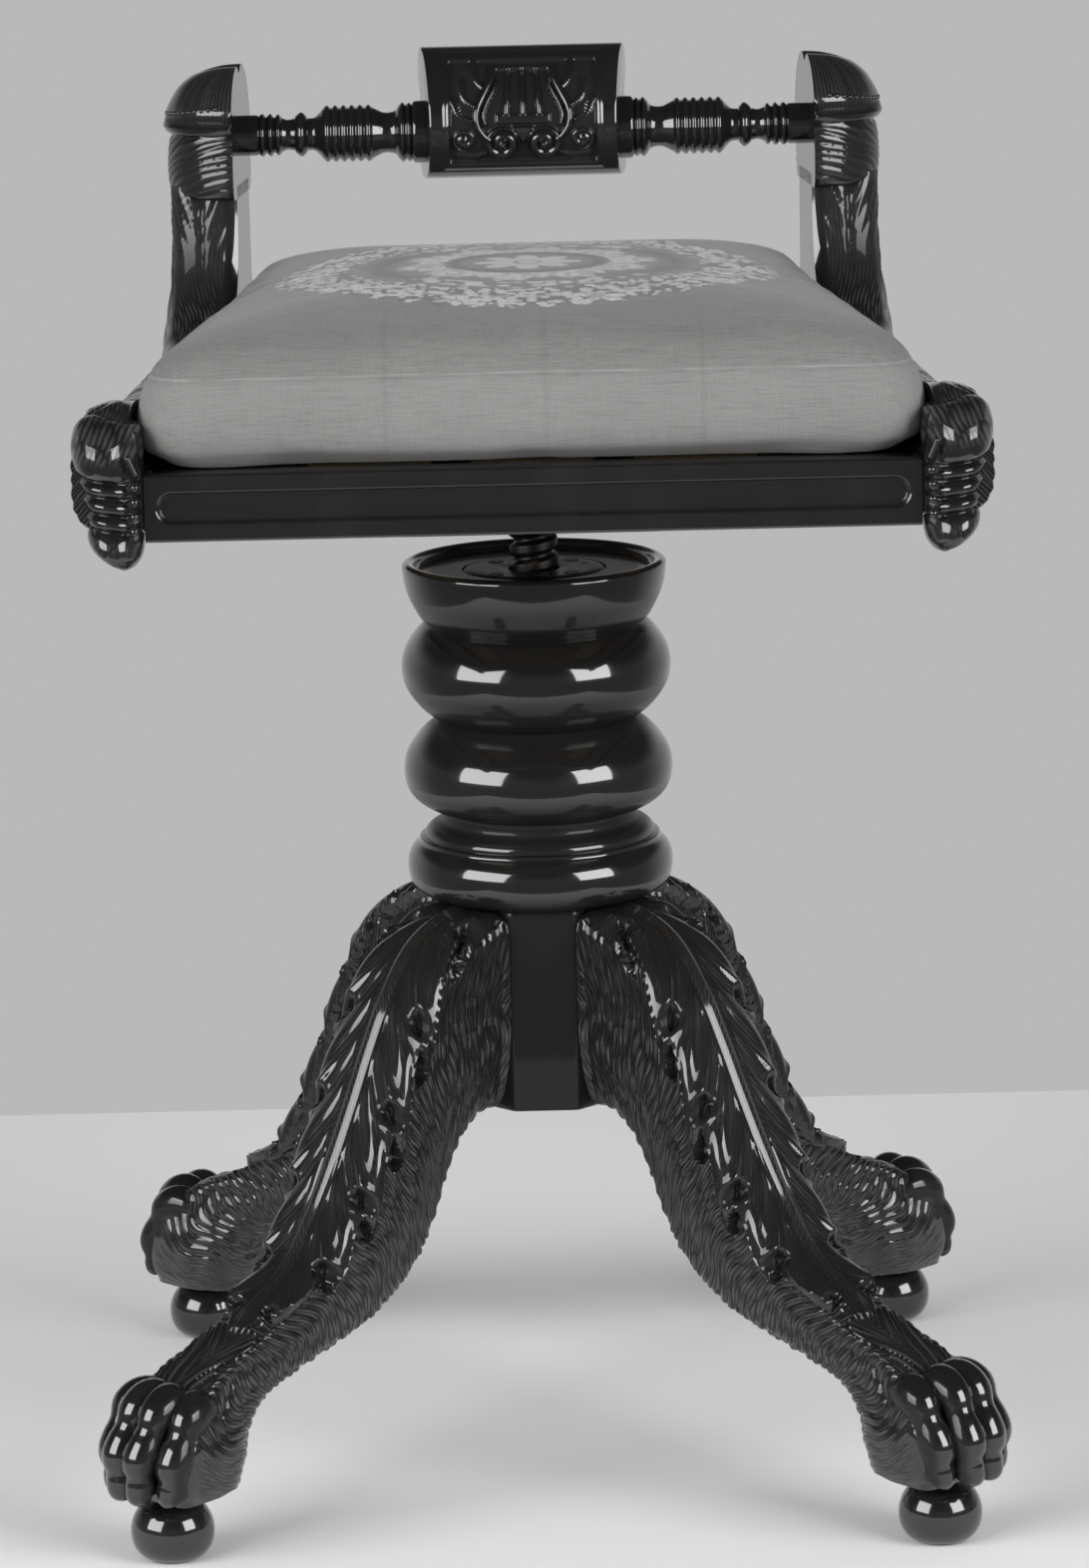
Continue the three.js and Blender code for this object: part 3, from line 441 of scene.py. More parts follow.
@dataclass
class Shell:
    """Closed surfaces gathered into one mesh, with the carving's values kept at their points."""
    points: list = field(default_factory=list)
    corners: list = field(default_factory=list)
    values: dict = field(default_factory=lambda: {"hollow": [], "strand": [], "hair": [], "run": []})
    count: int = 0
    sharp_degrees: ClassVar[float] = 48.0

    def add(self, grid: np.ndarray, carving: Optional[Leafage] = None, caps: bool = True) -> "Shell":
        """Add one closed surface of rings; its faces are turned to point outwards by their volume's sign.

        Args:
            grid: Points, as rows of rings that lead back to their start.
            carving: Values of the carving at the points.
            caps: Whether the first and last ring close in a point at their middle. Otherwise the
                last ring leads back to the first.

        Returns:
            The shell itself.
        """
        rows, columns = grid.shape[:2]
        index = np.arange(rows * columns).reshape(rows, columns)
        low, high = (index[:-1], index[1:]) if caps else (index, np.roll(index, -1, 0))
        quads = np.stack([low, np.roll(low, -1, 1), np.roll(high, -1, 1), high], -1).reshape(-1, 4)
        points = grid.reshape(-1, 3)
        fans = np.zeros((0, 3), int)
        if caps:
            points = np.vstack([points, grid[0].mean(0), grid[-1].mean(0)])
            first, last = rows * columns, rows * columns + 1
            fans = np.vstack([np.stack([np.roll(index[0], -1), index[0], np.full(columns, first)], 1),
                              np.stack([index[-1], np.roll(index[-1], -1), np.full(columns, last)], 1)])
        halves = np.vstack([quads[:, [0, 1, 2]], quads[:, [0, 2, 3]], fans])
        a, b, c = (points[halves[:, k]] for k in range(3))
        if np.sum(a * np.cross(b, c)) < 0:
            quads, fans = quads[:, ::-1], fans[:, ::-1]
        self.points.append(points)
        self.corners.append((quads + self.count, fans + self.count))
        for name, store in self.values.items():
            value = getattr(carving or Leafage(), name) + np.zeros((rows, columns))
            ends = [value[0].mean(), value[-1].mean()] if caps else []
            store.append(np.concatenate([value.ravel(), ends]))
        self.count += len(points)
        return self

    def mesh(self, name: str) -> bpy.types.Mesh:
        """The mesh in metres, smooth but for its sharp corners.

        Args:
            name: The mesh's name.

        Returns:
            The mesh, with a point attribute for each value.
        """
        points = np.vstack(self.points) * MILLIMETRE
        quads = np.vstack([pair[0] for pair in self.corners])
        fans = np.vstack([pair[1] for pair in self.corners])
        loops = np.concatenate([quads.ravel(), fans.ravel()])
        totals = np.concatenate([np.full(len(quads), 4), np.full(len(fans), 3)])
        mesh = bpy.data.meshes.new(name)
        mesh.vertices.add(len(points))
        mesh.vertices.foreach_set("co", points.ravel())
        mesh.loops.add(len(loops))
        mesh.loops.foreach_set("vertex_index", loops)
        mesh.polygons.add(len(totals))
        mesh.polygons.foreach_set("loop_start", np.concatenate([[0], np.cumsum(totals)[:-1]]))
        mesh.polygons.foreach_set("loop_total", totals)
        mesh.update(calc_edges=True)
        for value_name, store in self.values.items():
            mesh.attributes.new(value_name, "FLOAT", "POINT").data.foreach_set("value", np.concatenate(store))
        mesh.shade_smooth()
        mesh.set_sharp_from_angle(angle=math.radians(self.sharp_degrees))
        return mesh


def coordinates(mesh: bpy.types.Mesh) -> np.ndarray:
    """Places of a mesh's points, in metres.

    Args:
        mesh: The mesh.

    Returns:
        The places, one a row.
    """
    places = np.empty(len(mesh.vertices) * 3)
    mesh.vertices.foreach_get("co", places)
    return places.reshape(-1, 3)


# Shaders


Number = Union[float, int, "Value"]


class Value:
    """A number on a shader's socket; arithmetic on it adds Math nodes."""

    def __init__(self, shader: "NodeWork", socket: bpy.types.NodeSocket) -> None:
        """Keep the socket and the node tree that it belongs to."""
        self.shader = shader
        self.socket = socket

    def __add__(self, other: Number) -> "Value":
        """Sum."""
        return self.shader.math("ADD", self, other)

    __radd__ = __add__

    def __sub__(self, other: Number) -> "Value":
        """Difference."""
        return self.shader.math("SUBTRACT", self, other)

    def __rsub__(self, other: Number) -> "Value":
        """Difference the other way round."""
        return self.shader.math("SUBTRACT", other, self)

    def __mul__(self, other: Number) -> "Value":
        """Product."""
        return self.shader.math("MULTIPLY", self, other)

    __rmul__ = __mul__

    def __truediv__(self, other: Number) -> "Value":
        """Quotient."""
        return self.shader.math("DIVIDE", self, other)

    def __pow__(self, other: Number) -> "Value":
        """Power."""
        return self.shader.math("POWER", self, other)

    def __abs__(self) -> "Value":
        """Size without sign."""
        return self.shader.math("ABSOLUTE", self)

    def sine(self) -> "Value":
        """Sine of the number."""
        return self.shader.math("SINE", self)

    def cosine(self) -> "Value":
        """Cosine of the number."""
        return self.shader.math("COSINE", self)

    def fraction(self) -> "Value":
        """What is left over the whole number below."""
        return self.shader.math("FRACT", self)

    def most(self, other: Number) -> "Value":
        """The greater of two numbers."""
        return self.shader.math("MAXIMUM", self, other)

    def rise(self, low: float, high: float) -> "Value":
        """A smooth step from 0 at low to 1 at high."""
        return self.shader.value("ShaderNodeMapRange", {"interpolation_type": "SMOOTHSTEP"},
                                 {"Value": self, "From Min": low, "From Max": high})

    def hump(self, middle: float, width: float) -> "Value":
        """1 at a middle, and 0 from a width away on."""
        return 1 - abs(self - middle).rise(0, width)


class NodeWork:
    """A node tree that is put together from values."""

    def __init__(self, tree: bpy.types.NodeTree) -> None:
        """Start with an empty tree."""
        self.tree = tree
        self.tree.nodes.clear()

    def node(self, kind: str, settings: Optional[dict] = None,
             inputs: Optional[dict] = None) -> bpy.types.Node:
        """Add a node.

        Args:
            kind: The node's type.
            settings: Its properties, set before its sockets.
            inputs: Values or links of its sockets, by name or number.

        Returns:
            The node.
        """
        node = self.tree.nodes.new(kind)
        for name, setting in (settings or {}).items():
            setattr(node, name, setting)
        for key, given in (inputs or {}).items():
            source = given.socket if isinstance(given, Value) else given
            if isinstance(source, bpy.types.NodeSocket):
                self.tree.links.new(source, node.inputs[key])
            else:
                node.inputs[key].default_value = source
        return node

    def value(self, kind: str, settings: Optional[dict] = None, inputs: Optional[dict] = None,
              output: Union[int, str] = 0) -> Value:
        """Add a node and take one of its outputs as a number.

        Args:
            kind: The node's type.
            settings: Its properties.
            inputs: Values or links of its sockets.
            output: Name or number of the output.

        Returns:
            The output.
        """
        return Value(self, self.node(kind, settings, inputs).outputs[output])

    def math(self, operation: str, *operands: Number) -> Value:
        """Add a Math node for an operation on its operands."""
        return self.value("ShaderNodeMath", {"operation": operation}, dict(enumerate(operands)))

    def mix(self, share: Number, first: Any, second: Any) -> Value:
        """A colour between two colours.

        Args:
            share: 0 for the first colour, 1 for the second.
            first: A colour as three numbers, or a value.
            second: The other colour.

        Returns:
            The colour.
        """
        ends = [(*colour, 1.0) if isinstance(colour, tuple) else colour for colour in (first, second)]
        return self.value("ShaderNodeMix", {"data_type": "RGBA", "clamp_factor": True},
                          {0: share, 6: ends[0], 7: ends[1]}, 2)


class Shader(NodeWork):
    """The node tree of one material."""

    def __init__(self, name: str) -> None:
        """Start an empty tree, with the place on the object in millimetres.

        Args:
            name: The material's name.
        """
        self.material = bpy.data.materials.new(name)
        self.material.use_nodes = True
        super().__init__(self.material.node_tree)
        place = self.node("ShaderNodeTexCoord")
        scaled = self.node("ShaderNodeVectorMath", {"operation": "SCALE"},
                           {0: place.outputs["Object"], "Scale": 1 / MILLIMETRE})
        self.place = scaled.outputs[0]
        split = self.node("ShaderNodeSeparateXYZ", None, {0: self.place})
        self.x, self.y, self.z = (Value(self, split.outputs[k]) for k in range(3))

    def attribute(self, name: str) -> Value:
        """A number kept at the mesh's points."""
        return self.value("ShaderNodeAttribute", {"attribute_name": name}, None, "Fac")

    def noise(self, size: float, stretch: Sequence[float] = (1, 1, 1), detail: float = 3) -> Value:
        """Noise about 0.5.

        Args:
            size: Size of its largest spots, in millimetres.
            stretch: How much longer the spots are along each axis.
            detail: Number of finer layers.

        Returns:
            The noise, from 0 to 1.
        """
        spread = self.node("ShaderNodeVectorMath", {"operation": "DIVIDE"},
                           {0: self.place, 1: tuple(size * share for share in stretch)})
        return self.value("ShaderNodeTexNoise", None,
                          {"Vector": spread.outputs[0], "Scale": 1.0, "Detail": detail}, "Fac")

    def locks(self, strand: Value, run: Value) -> Value:
        """Tapered locks of hair in rows, as the function locks makes them but sin(pi t)^0.5 wide.

        Args:
            strand: Distance across the rows, in rows.
            run: Distance along the rows, in locks.

        Returns:
            The locks' height from 0 to 1.
        """
        row = self.math("FLOOR", strand)
        width = ((run + (row * 12.9898).sine() * 437.585).fraction() * math.pi).sine() ** 0.5
        aside = (strand - row - 0.5) * 2 / width.most(0.15)
        return width * (1 - aside * aside).most(0)

    def bump(self, height: Value, strength: float = 1.0) -> Value:
        """A normal from a height in millimetres."""
        return self.value("ShaderNodeBump", None,
                          {"Strength": strength, "Distance": MILLIMETRE, "Height": height}, "Normal")

    def surface(self, **inputs: Any) -> bpy.types.Material:
        """End the tree in a Principled surface.

        Args:
            inputs: The sockets by name, with an underscore for each space.

        Returns:
            The material.
        """
        named = {name.replace("_", " "): given for name, given in inputs.items()}
        shade = self.node("ShaderNodeBsdfPrincipled", None, named)
        self.node("ShaderNodeOutputMaterial", None, {0: shade.outputs[0]})
        return self.material


# Finishes


@dataclass(frozen=True)
class EbonisedWood:
    """Wood stained black and polished, with painted shade where its hollow share is high (dull polish and a
    little dust), and cut strands of hair whose crests carry painted highlights.
    """
    slot: ClassVar[str] = "ebonised_wood"
    colour: tuple = (0.0085, 0.0082, 0.0080)
    # Paler colour of worn places, and of painted highlights on the crests of the hair strands
    wear_and_highlight: tuple = (0.052, 0.050, 0.048)
    # Dusty colour mixed in where the hollow share paints shade
    dust_and_shade: tuple = (0.015, 0.0145, 0.014)
    roughness: float = 0.19
    strand_depth: float = 1.1

    def material(self) -> bpy.types.Material:
        """Locks of hair where the carving has strands, painted paler on their crests as painted highlights
        and wear; pores drawn out upright.

        Returns:
            The material.
        """
        shader = Shader(f"{self.slot}_finish")
        hair, hollow = shader.attribute("hair"), shader.attribute("hollow")
        strand = shader.attribute("strand") + 0.5 * shader.noise(9.0, detail=1)
        lock = shader.locks(strand, shader.attribute("run")) * hair
        pores = shader.noise(0.8, (1, 1, 9), 2).rise(0.56, 0.72)
        mottle = shader.noise(22.0, (1, 1, 2))
        ripple = shader.noise(14.0, (1, 1, 3), 1)
        height = lock * self.strand_depth - pores * 0.006 + ripple * 0.04
        # The strands' crests are painted paler as painted highlights; the slow mottle is random paler tone
        colour = shader.mix(mottle.rise(0.5, 0.8) * 0.1 + lock * 0.85, self.colour, self.wear_and_highlight)
        # Painted shade: the hollow share mixes in the dusty colour here, and below it takes the coat away and
        # roughens the polish, so hollows, undersides and other shaded places reflect little
        colour = shader.mix(hollow * 0.8, colour, self.dust_and_shade)
        roughness = self.roughness + hollow * 0.25 + hair * 0.16 + mottle * 0.06 + pores * 0.05
        return shader.surface(
            Base_Color=colour, Roughness=roughness, Specular_IOR_Level=0.1,
            Coat_Weight=1 - (hollow * 0.95).most(hair * 0.65 - lock * 0.5), Coat_Roughness=0.07, Coat_IOR=1.7,
            Normal=shader.bump(height))


@dataclass(frozen=True)
class BareWood:
    """Sawn beech, unpolished and darkened by age, with growth lines along the piece and saw marks."""
    slot: ClassVar[str] = "bare_wood"
    early: tuple = (0.100, 0.074, 0.052)
    late: tuple = (0.052, 0.036, 0.024)

    def material(self) -> bpy.types.Material:
        """Growth lines are sines of the place across the grain, bent by long noise.

        Returns:
            The material.
        """
        shader = Shader(f"{self.slot}_finish")
        bend = shader.noise(60.0, (1, 4, 1))
        lines = ((shader.x * 0.9 + shader.z * 1.3 + bend * 26) * 1.4).sine() * 0.5 + 0.5
        flecks = shader.noise(1.2, (1, 6, 1)).rise(0.55, 0.75)
        saw = (shader.y * 2.6 + bend * 3).sine()
        return shader.surface(
            Base_Color=shader.mix(lines * 0.65 + flecks * 0.3, self.early, self.late),
            Roughness=0.68 + flecks * 0.15, Normal=shader.bump(lines * 0.03 + saw * 0.03 - flecks * 0.05))


@dataclass(frozen=True)
class DarkIron:
    """Dark iron with a film of old oil and a few dull spots of rust."""
    slot: ClassVar[str] = "dark_iron"
    colour: tuple = (0.055, 0.052, 0.050)
    rust: tuple = (0.045, 0.024, 0.014)

    def material(self) -> bpy.types.Material:
        """Rust sits where slow noise is high; fine noise pits the face.

        Returns:
            The material.
        """
        shader = Shader(f"{self.slot}_finish")
        rust = shader.noise(9.0).rise(0.58, 0.72)
        pits = shader.noise(0.9, detail=2)
        return shader.surface(Base_Color=shader.mix(rust * 0.8, self.colour, self.rust),
                              Metallic=1 - rust * 0.8, Roughness=0.34 + rust * 0.4 + pits * 0.12,
                              Normal=shader.bump(pits * 0.05 + rust * 0.04))


@dataclass(frozen=True)
class JuteWebbing:
    """Plain woven jute, darker along its slubs."""
    slot: ClassVar[str] = "webbing"
    colour: tuple = (0.37, 0.265, 0.145)
    shade: tuple = (0.17, 0.112, 0.055)

    def material(self) -> bpy.types.Material:
        """The weave is the product of two sines, one each way.

        Returns:
            The material.
        """
        shader = Shader(f"{self.slot}_finish")
        weave = (shader.x * 3.1).sine() * (shader.y * 3.1).sine()
        slub = shader.noise(6.0, (1, 5, 1))
        return shader.surface(Base_Color=shader.mix(weave * 0.3 + slub * 0.6, self.colour, self.shade),
                              Roughness=0.92, Normal=shader.bump(weave * 0.25 + slub * 0.1))


@dataclass(frozen=True)
class FiguredCloth:
    """Ribbed silk with a woven wreath of leaves round scrolling leafage and a rosette in a ring."""
    slot: ClassVar[str] = "cover_fabric"
    ground: tuple = (0.180, 0.178, 0.174)
    figure: tuple = (0.64, 0.635, 0.625)
    shade: tuple = (0.072, 0.071, 0.070)
    centre_y: float = -13.0
    wreath_radius: float = 89.0
    wreath_width: float = 18.0
    leaves: int = 44
    scroll_radius: float = 44.0
    ring_radius: float = 31.0

    def leafy(self, shader: Shader, size: float) -> Value:
        """Small leaves side by side: where a point is nearer than half a leaf to the middle of its cell.

        Args:
            shader: The cloth's node tree.
            size: Size of a leaf, in millimetres.

        Returns:
            1 on the leaves, 0 between them.
        """
        flat = shader.node("ShaderNodeVectorMath", {"operation": "MULTIPLY"},
                           {0: shader.place, 1: (1 / size, 1 / size, 0)})
        cell = shader.value("ShaderNodeTexVoronoi", {"feature": "F1"},
                            {"Vector": flat.outputs[0], "Scale": 1.0, "Randomness": 0.8}, "Distance")
        return 1 - cell.rise(0.50, 0.60)

    def wreath(self, shader: Shader) -> tuple:
        """The woven figure, in polar places about the seat's middle.

        The wreath is small leaves between two rims whose radii swing with sines of the angle, a stalk
        between them and florets whose radius swings with a cosine. The leafage inside lies between
        two such rims; the rosette's petals are a radius that swings with a cosine.

        Args:
            shader: The cloth's node tree.

        Returns:
            How light and how dark the figure is, from 0 to 1.
        """
        x, y = shader.x, shader.y - self.centre_y
        unsteady = shader.noise(5.0, detail=2) - 0.5
        radius = shader.math("SQRT", x * x + y * y) + unsteady * 4.0
        angle = shader.math("ARCTAN2", y, x)
        wide = abs(angle.cosine())
        leaves, big_leaves = self.leafy(shader, 4.6), self.leafy(shader, 7.5)
        rim = abs((angle * (self.leaves / 2) + unsteady * 2).sine())
        outer = (self.wreath_radius + self.wreath_width - 7 + rim * 8 - radius).rise(0.0, 1.5)
        inner = (radius - self.wreath_radius + self.wreath_width - 4 + rim * 5 - wide * 3).rise(0.0, 1.5)
        ring = outer * inner * leaves.most(abs(radius - self.wreath_radius).hump(0.0, 3.0))
        floret_angle = ((angle * (10 / math.tau) + 0.5).fraction() - 0.5) * (math.tau / 10)
        across, out = floret_angle * radius, radius - self.wreath_radius - 7
        floret_radius = shader.math("SQRT", across * across + out * out)
        floret_turn = shader.math("ARCTAN2", out, across)
        floret = (8.0 + (floret_turn * 5).cosine() * 3.0 - floret_radius).rise(0.0, 1.4)
        floret_cuts = (floret_turn * 5).cosine().hump(-1.0, 0.5) + floret_radius.hump(0.0, 2.2)
        swing = (angle * 10).sine()
        rims = self.scroll_radius + 8 + swing * 4 + (angle * 34).sine() * 2.2
        leafage = (rims - radius).rise(0.0, 1.6) * (radius - self.ring_radius - 3.5).rise(0.0, 1.6)
        sprays = big_leaves * abs(radius - 64).hump(0.0, 9.0).rise(0.25, 0.5) * (1 - wide.rise(0.62, 0.86))
        petals = (14.0 + abs((angle * 4).cosine()) * 10.0 - radius).rise(0.0, 1.6)
        petal_cuts = abs((angle * 4).cosine()).hump(0.0, 0.2) * radius.rise(4, 8)
        button = abs(radius - 5.0).hump(0.0, 1.8)
        ring_line = abs(radius - self.ring_radius).hump(0.0, 4.5)
        side_shade = abs(radius - 63).hump(0.0, 10.0) * wide.rise(0.6, 0.85) * 0.9
        light, dark = ring * 0.85, (1 - leaves) * outer * inner * 0.5
        for bright in (floret, leafage * (0.45 + leaves * 0.4), sprays * 0.8, petals * 0.8):
            light = light.most(bright)
        for dull in (floret_cuts * floret * 0.7, petal_cuts * 0.7 * petals, button, ring_line, side_shade):
            dark = dark.most(dull)
        return light, dark

    def material(self) -> bpy.types.Material:
        """The figure on its ground, with slubs drawn out along X, a fine weave, a painted highlight along the
        crease, the side below it a little paler, and faint folds drawn as darker lines of painted shade.

        Returns:
            The material.
        """
        shader = Shader(f"{self.slot}_finish")
        light, dark = self.wreath(shader)
        on_top = shader.z.rise(CREASE_HEIGHT + 5, CREASE_HEIGHT + 14)
        ribs = shader.noise(0.9, (12, 0.8, 0.8), 2)
        warp = shader.noise(0.8, (0.8, 10, 10), 1)
        slubs = shader.noise(5.0, (7, 0.7, 0.7), 2)
        cloud = shader.noise(45.0)
        colour = shader.mix(light * on_top * (0.6 + ribs * 0.6), self.ground, self.figure)
        colour = shader.mix(dark * on_top * 0.75, colour, self.shade)
        streaks = ribs.rise(0.35, 0.8) * 0.30 + warp.rise(0.4, 0.8) * 0.16 + slubs.rise(0.5, 0.8) * 0.14
        colour = shader.mix(streaks + cloud.rise(0.4, 0.7) * 0.08, colour, self.shade)
        # Painted highlight along the front of the crease; the side below the crease is mixed a little paler
        below = 1 - shader.z.rise(CREASE_HEIGHT - 3, CREASE_HEIGHT)
        crease = (shader.z.hump(CREASE_HEIGHT, 0.9) * shader.y.hump(-175, 90)
                  * shader.noise(30.0).rise(0.3, 0.7))
        colour = shader.mix(below * 0.06 + crease * 0.16, colour, self.figure)
        # Painted shade: three faint darker lines down the cushion's front stand for folds
        fold = sum(((shader.x - place).hump(0.0, 2.2) for place in (-58.5, 6.0, 69.0)), 0.0)
        colour = shader.mix(fold * 0.12 * (1 - shader.y.rise(-140, -110)), colour, self.shade)
        height = ribs * 0.14 + warp * 0.08 + slubs * 0.12 + light * on_top * 0.16 + crease * 0.2 + cloud * 1.0
        return shader.surface(Base_Color=colour, Roughness=0.76 - light * on_top * 0.16,
                              Sheen_Weight=0.15, Sheen_Roughness=0.4, Normal=shader.bump(height, 0.9))


@dataclass(frozen=True)
class StudioPaper:
    """Matt pale paper of the floor."""
    name: str
    colour: tuple

    def material(self) -> bpy.types.Material:
        """A faint cloudiness, so that the paper isn't one flat colour.

        Returns:
            The material.
        """
        shader = Shader(self.name)
        cloud = shader.noise(380.0)
        darker = tuple(0.965 * part for part in self.colour)
        return shader.surface(Base_Color=shader.mix(cloud, self.colour, darker), Roughness=0.9 + cloud * 0.05)


@dataclass
class Finishes:
    """The stool's materials, made once."""
    ebonised: bpy.types.Material = field(default_factory=lambda: EbonisedWood().material())
    bare: bpy.types.Material = field(default_factory=lambda: BareWood().material())
    iron: bpy.types.Material = field(default_factory=lambda: DarkIron().material())
    webbing: bpy.types.Material = field(default_factory=lambda: JuteWebbing().material())
    cloth: bpy.types.Material = field(default_factory=lambda: FiguredCloth().material())

    def dress(self, node: str, material: bpy.types.Material) -> None:
        """Give a node of the frame one of the materials.

        Args:
            node: The node's name.
            material: The material.
        """
        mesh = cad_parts[node].data
        mesh.materials.clear()
        mesh.materials.append(material)


def make_piece(name: str, mesh: bpy.types.Mesh, material: bpy.types.Material, body: Body,
               stands_for: Sequence[str]) -> bpy.types.Object:
    """Link a mesh into the scene as a piece that rides on a body.

    Args:
        name: The piece's name.
        mesh: Its mesh, in place.
        material: Its material, whose name starts with the record's slot.
        body: The body that it rides on.
        stands_for: The nodes that it replaces.

    Returns:
        The piece.
    """
    piece = bpy.data.objects.new(name, mesh)
    bpy.context.scene.collection.objects.link(piece)
    mesh.materials.clear()
    mesh.materials.append(material)
    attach(piece, body.value)
    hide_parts(*stands_for)
    log.info("%s: %d faces on %s", name, len(mesh.polygons), body.value)
    return piece


@dataclass
class Part:
    """Pieces of one body that are made together."""
    finishes: Finishes
    body: ClassVar[Body] = Body.SEAT

    def wooden(self, name: str, node: str, shell: Shell) -> None:
        """Make a piece of ebonised wood.

        Args:
            name: The piece's name.
            node: The node that it replaces.
            shell: Its surfaces.
        """
        make_piece(name, shell.mesh(node), self.finishes.ebonised, self.body, [node])


# The base


@dataclass
class Leg(Part):
    """A carved leg in its own upright plane: acanthus leaf down the front, fur behind, and a lion's paw."""
    corner: Corner
    body: ClassVar[Body] = Body.BASE
    rows: int = 400
    columns: int = 200
    hub_reach: float = 42.6
    reach: float = 183.67
    ball_top: float = 25.0
    rise: float = 221.2
    half_width: float = 22.5
    lobe_pitch: float = 40.0
    edge_rows: ClassVar[list] = [
        [0, 0.996, 0, 0.595, 1], [0.1, 0.985, 0.05, 0.588, 1.04], [0.2, 0.945, 0.104, 0.56, 1.08],
        [0.285, 0.86, 0.152, 0.518, 1.12], [0.35, 0.765, 0.183, 0.468, 1.12],
        [0.41, 0.665, 0.211, 0.411, 1.1], [0.474, 0.565, 0.254, 0.347, 1.06],
        [0.545, 0.467, 0.316, 0.293, 0.98], [0.627, 0.38, 0.407, 0.246, 0.9],
        [0.73, 0.323, 0.527, 0.211, 0.84], [0.855, 0.275, 0.642, 0.184, 0.82],
        [0.965, 0.238, 0.737, 0.158, 0.88], [1.035, 0.186, 0.804, 0.118, 1.04],
        [1.07, 0.122, 0.84, 0.065, 1.1], [1.085, 0.056, 0.86, 0.018, 1.06], [1.07, 0.012, 0.877, 0.012, 0.94]]
    section: ClassVar[list] = [
        [1, 0], [0.98, 0.55], [0.86, 0.95], [0.35, 1], [-0.35, 0.95], [-0.85, 0.72], [-1, 0.32],
        [-1, -0.32], [-0.85, -0.72], [-0.35, -0.95], [0.35, -1], [0.86, -0.95], [0.98, -0.55]]
    leaf_edge: ClassVar[list] = [
        [0, 24], [30, 29], [70, 36], [140, 36], [172, 32], [198, 25], [214, 15], [223, 6], [227, 0]]
    leaf_tip: float = 219.0
    fur_spacing: float = 5.2
    shin_spacing: float = 3.8
    paw_from: float = 272.0
    paw_to: float = 292.0
    tuft_length: float = 12.5
    heel_tuft_length: float = 15.0
    tendon_spacing: float = 11.6
    strand_width: float = 2.05
    toe_points: int = 56
    toe_segments: int = 32
    toe_path: ClassVar[list] = [
        [207, 62, 3], [219, 67, 6.2], [229.5, 70, 8.6], [237.5, 66, 8.2], [241.4, 59.5, 6.5],
        [244.6, 53.5, 7.6], [246.8, 48, 7.9], [246.4, 42, 6.6], [246.6, 37, 6.9], [247.2, 33, 6.0],
        [246.2, 29.6, 3.0]]
    toe_places: ClassVar[list] = [[-17.0, -6.4], [-5.9, 0.9], [5.9, 0.9], [17.0, -6.4]]

    def plain(self) -> np.ndarray:
        """The leg before carving: in each row, the middle of outer and inner edge, plus a section point's
        first share times half the way between the edges, plus its second share times the half width.

        Returns:
            The grid, in the leg's own plane.
        """
        rows = weighed(self.edge_rows, [1, 1.2, 1, 1.2, 0.2], self.rows)
        outer_r, outer_z, inner_r, inner_z, width = rows.T[:, :, None]
        r1, r2 = self.hub_reach + outer_r * self.reach, self.hub_reach + inner_r * self.reach
        z1, z2 = self.ball_top + outer_z * self.rise, self.ball_top + inner_z * self.rise
        depth, across = evenly(curve_through(self.section, 900, True), self.columns, True).T
        return np.stack([(r1 + r2) / 2 + depth * (r1 - r2) / 2, across * self.half_width * width,
                         (z1 + z2) / 2 + depth * (z1 - z2) / 2], -1)

    def carving(self, grid: np.ndarray) -> Leafage:
        """Leaf inside its edge, and outside it locks of fur.

        The locks' rows follow the place along the leg less 0.3 of the way across it, bent by two
        sines, but run lengthwise on the shin. There are tufts down the back and grooves between
        the paw's tendons.

        Args:
            grid: The plain leg.

        Returns:
            The carving at its points.
        """
        along = distances(grid[:, 0])[:, None] + 0 * grid[..., 0]
        steps = np.linalg.norm(np.roll(grid, -1, 1) - grid, axis=2)
        around = np.cumsum(steps, axis=1) - steps
        total = steps.sum(1, keepdims=True)
        across = np.where(around > total / 2, around - total, around)
        away = np.abs(across)
        edge = np.interp(along, *np.array(self.leaf_edge).T)
        leaf = acanthus(along + 12, across, edge, self.lobe_pitch)
        curl = 0.8 * bell(along - self.leaf_tip + 5, 4) * smooth(edge - away, -1, 3)
        plain = 1 - smooth(leaf.height, 0.1, 0.9)
        shin = (along > self.leaf_tip + 3) & (away < 15 + 2.5 * np.sin(along / 4))
        swirl = 2.8 * np.sin(away / 7.5 + along / 33)
        drift = along - 0.3 * away - swirl - 1.2 * np.sin(away / 4.1 - along / 13)
        drift = np.where(shin, away + 0.4 * along + 1.5 * np.sin(along / 9), drift)
        lock = locks(drift / np.where(shin, self.shin_spacing, self.fur_spacing), away / 19 + along / 71)
        at_paw = smooth(along, self.paw_from, self.paw_to)
        fur = plain * (1 - at_paw)
        flank = 0.45 * plain * at_paw * smooth(away, 26, 34)
        fur_height = (fur + flank) * (0.9 + 0.9 * shin) * (lock - 0.4)
        back = smooth(away, 0.37 * total, 0.46 * total)
        tuft = np.abs(np.sin(math.pi * (along + 0.5 * away) / self.tuft_length)) ** 0.7
        tufts = back * (1 - at_paw) * 1.3 * tuft
        heel_tuft = np.abs(np.sin(math.pi * along / self.heel_tuft_length)) ** 0.7
        heel = back * smooth(along, 268, 288) * 1.2 * heel_tuft
        half_space = self.tendon_spacing / 2
        from_groove = (away + half_space) % self.tendon_spacing - half_space
        tendons = -1.5 * smooth(along, 270, 292) * bell(from_groove, 2.0) * (1 - smooth(away, 20, 26))
        base = -(1.4 + 0.9 * plain) * (1 - at_paw)
        tip_shade = 0.8 * bell(along - self.leaf_tip - 8, 4) * (away < 12)
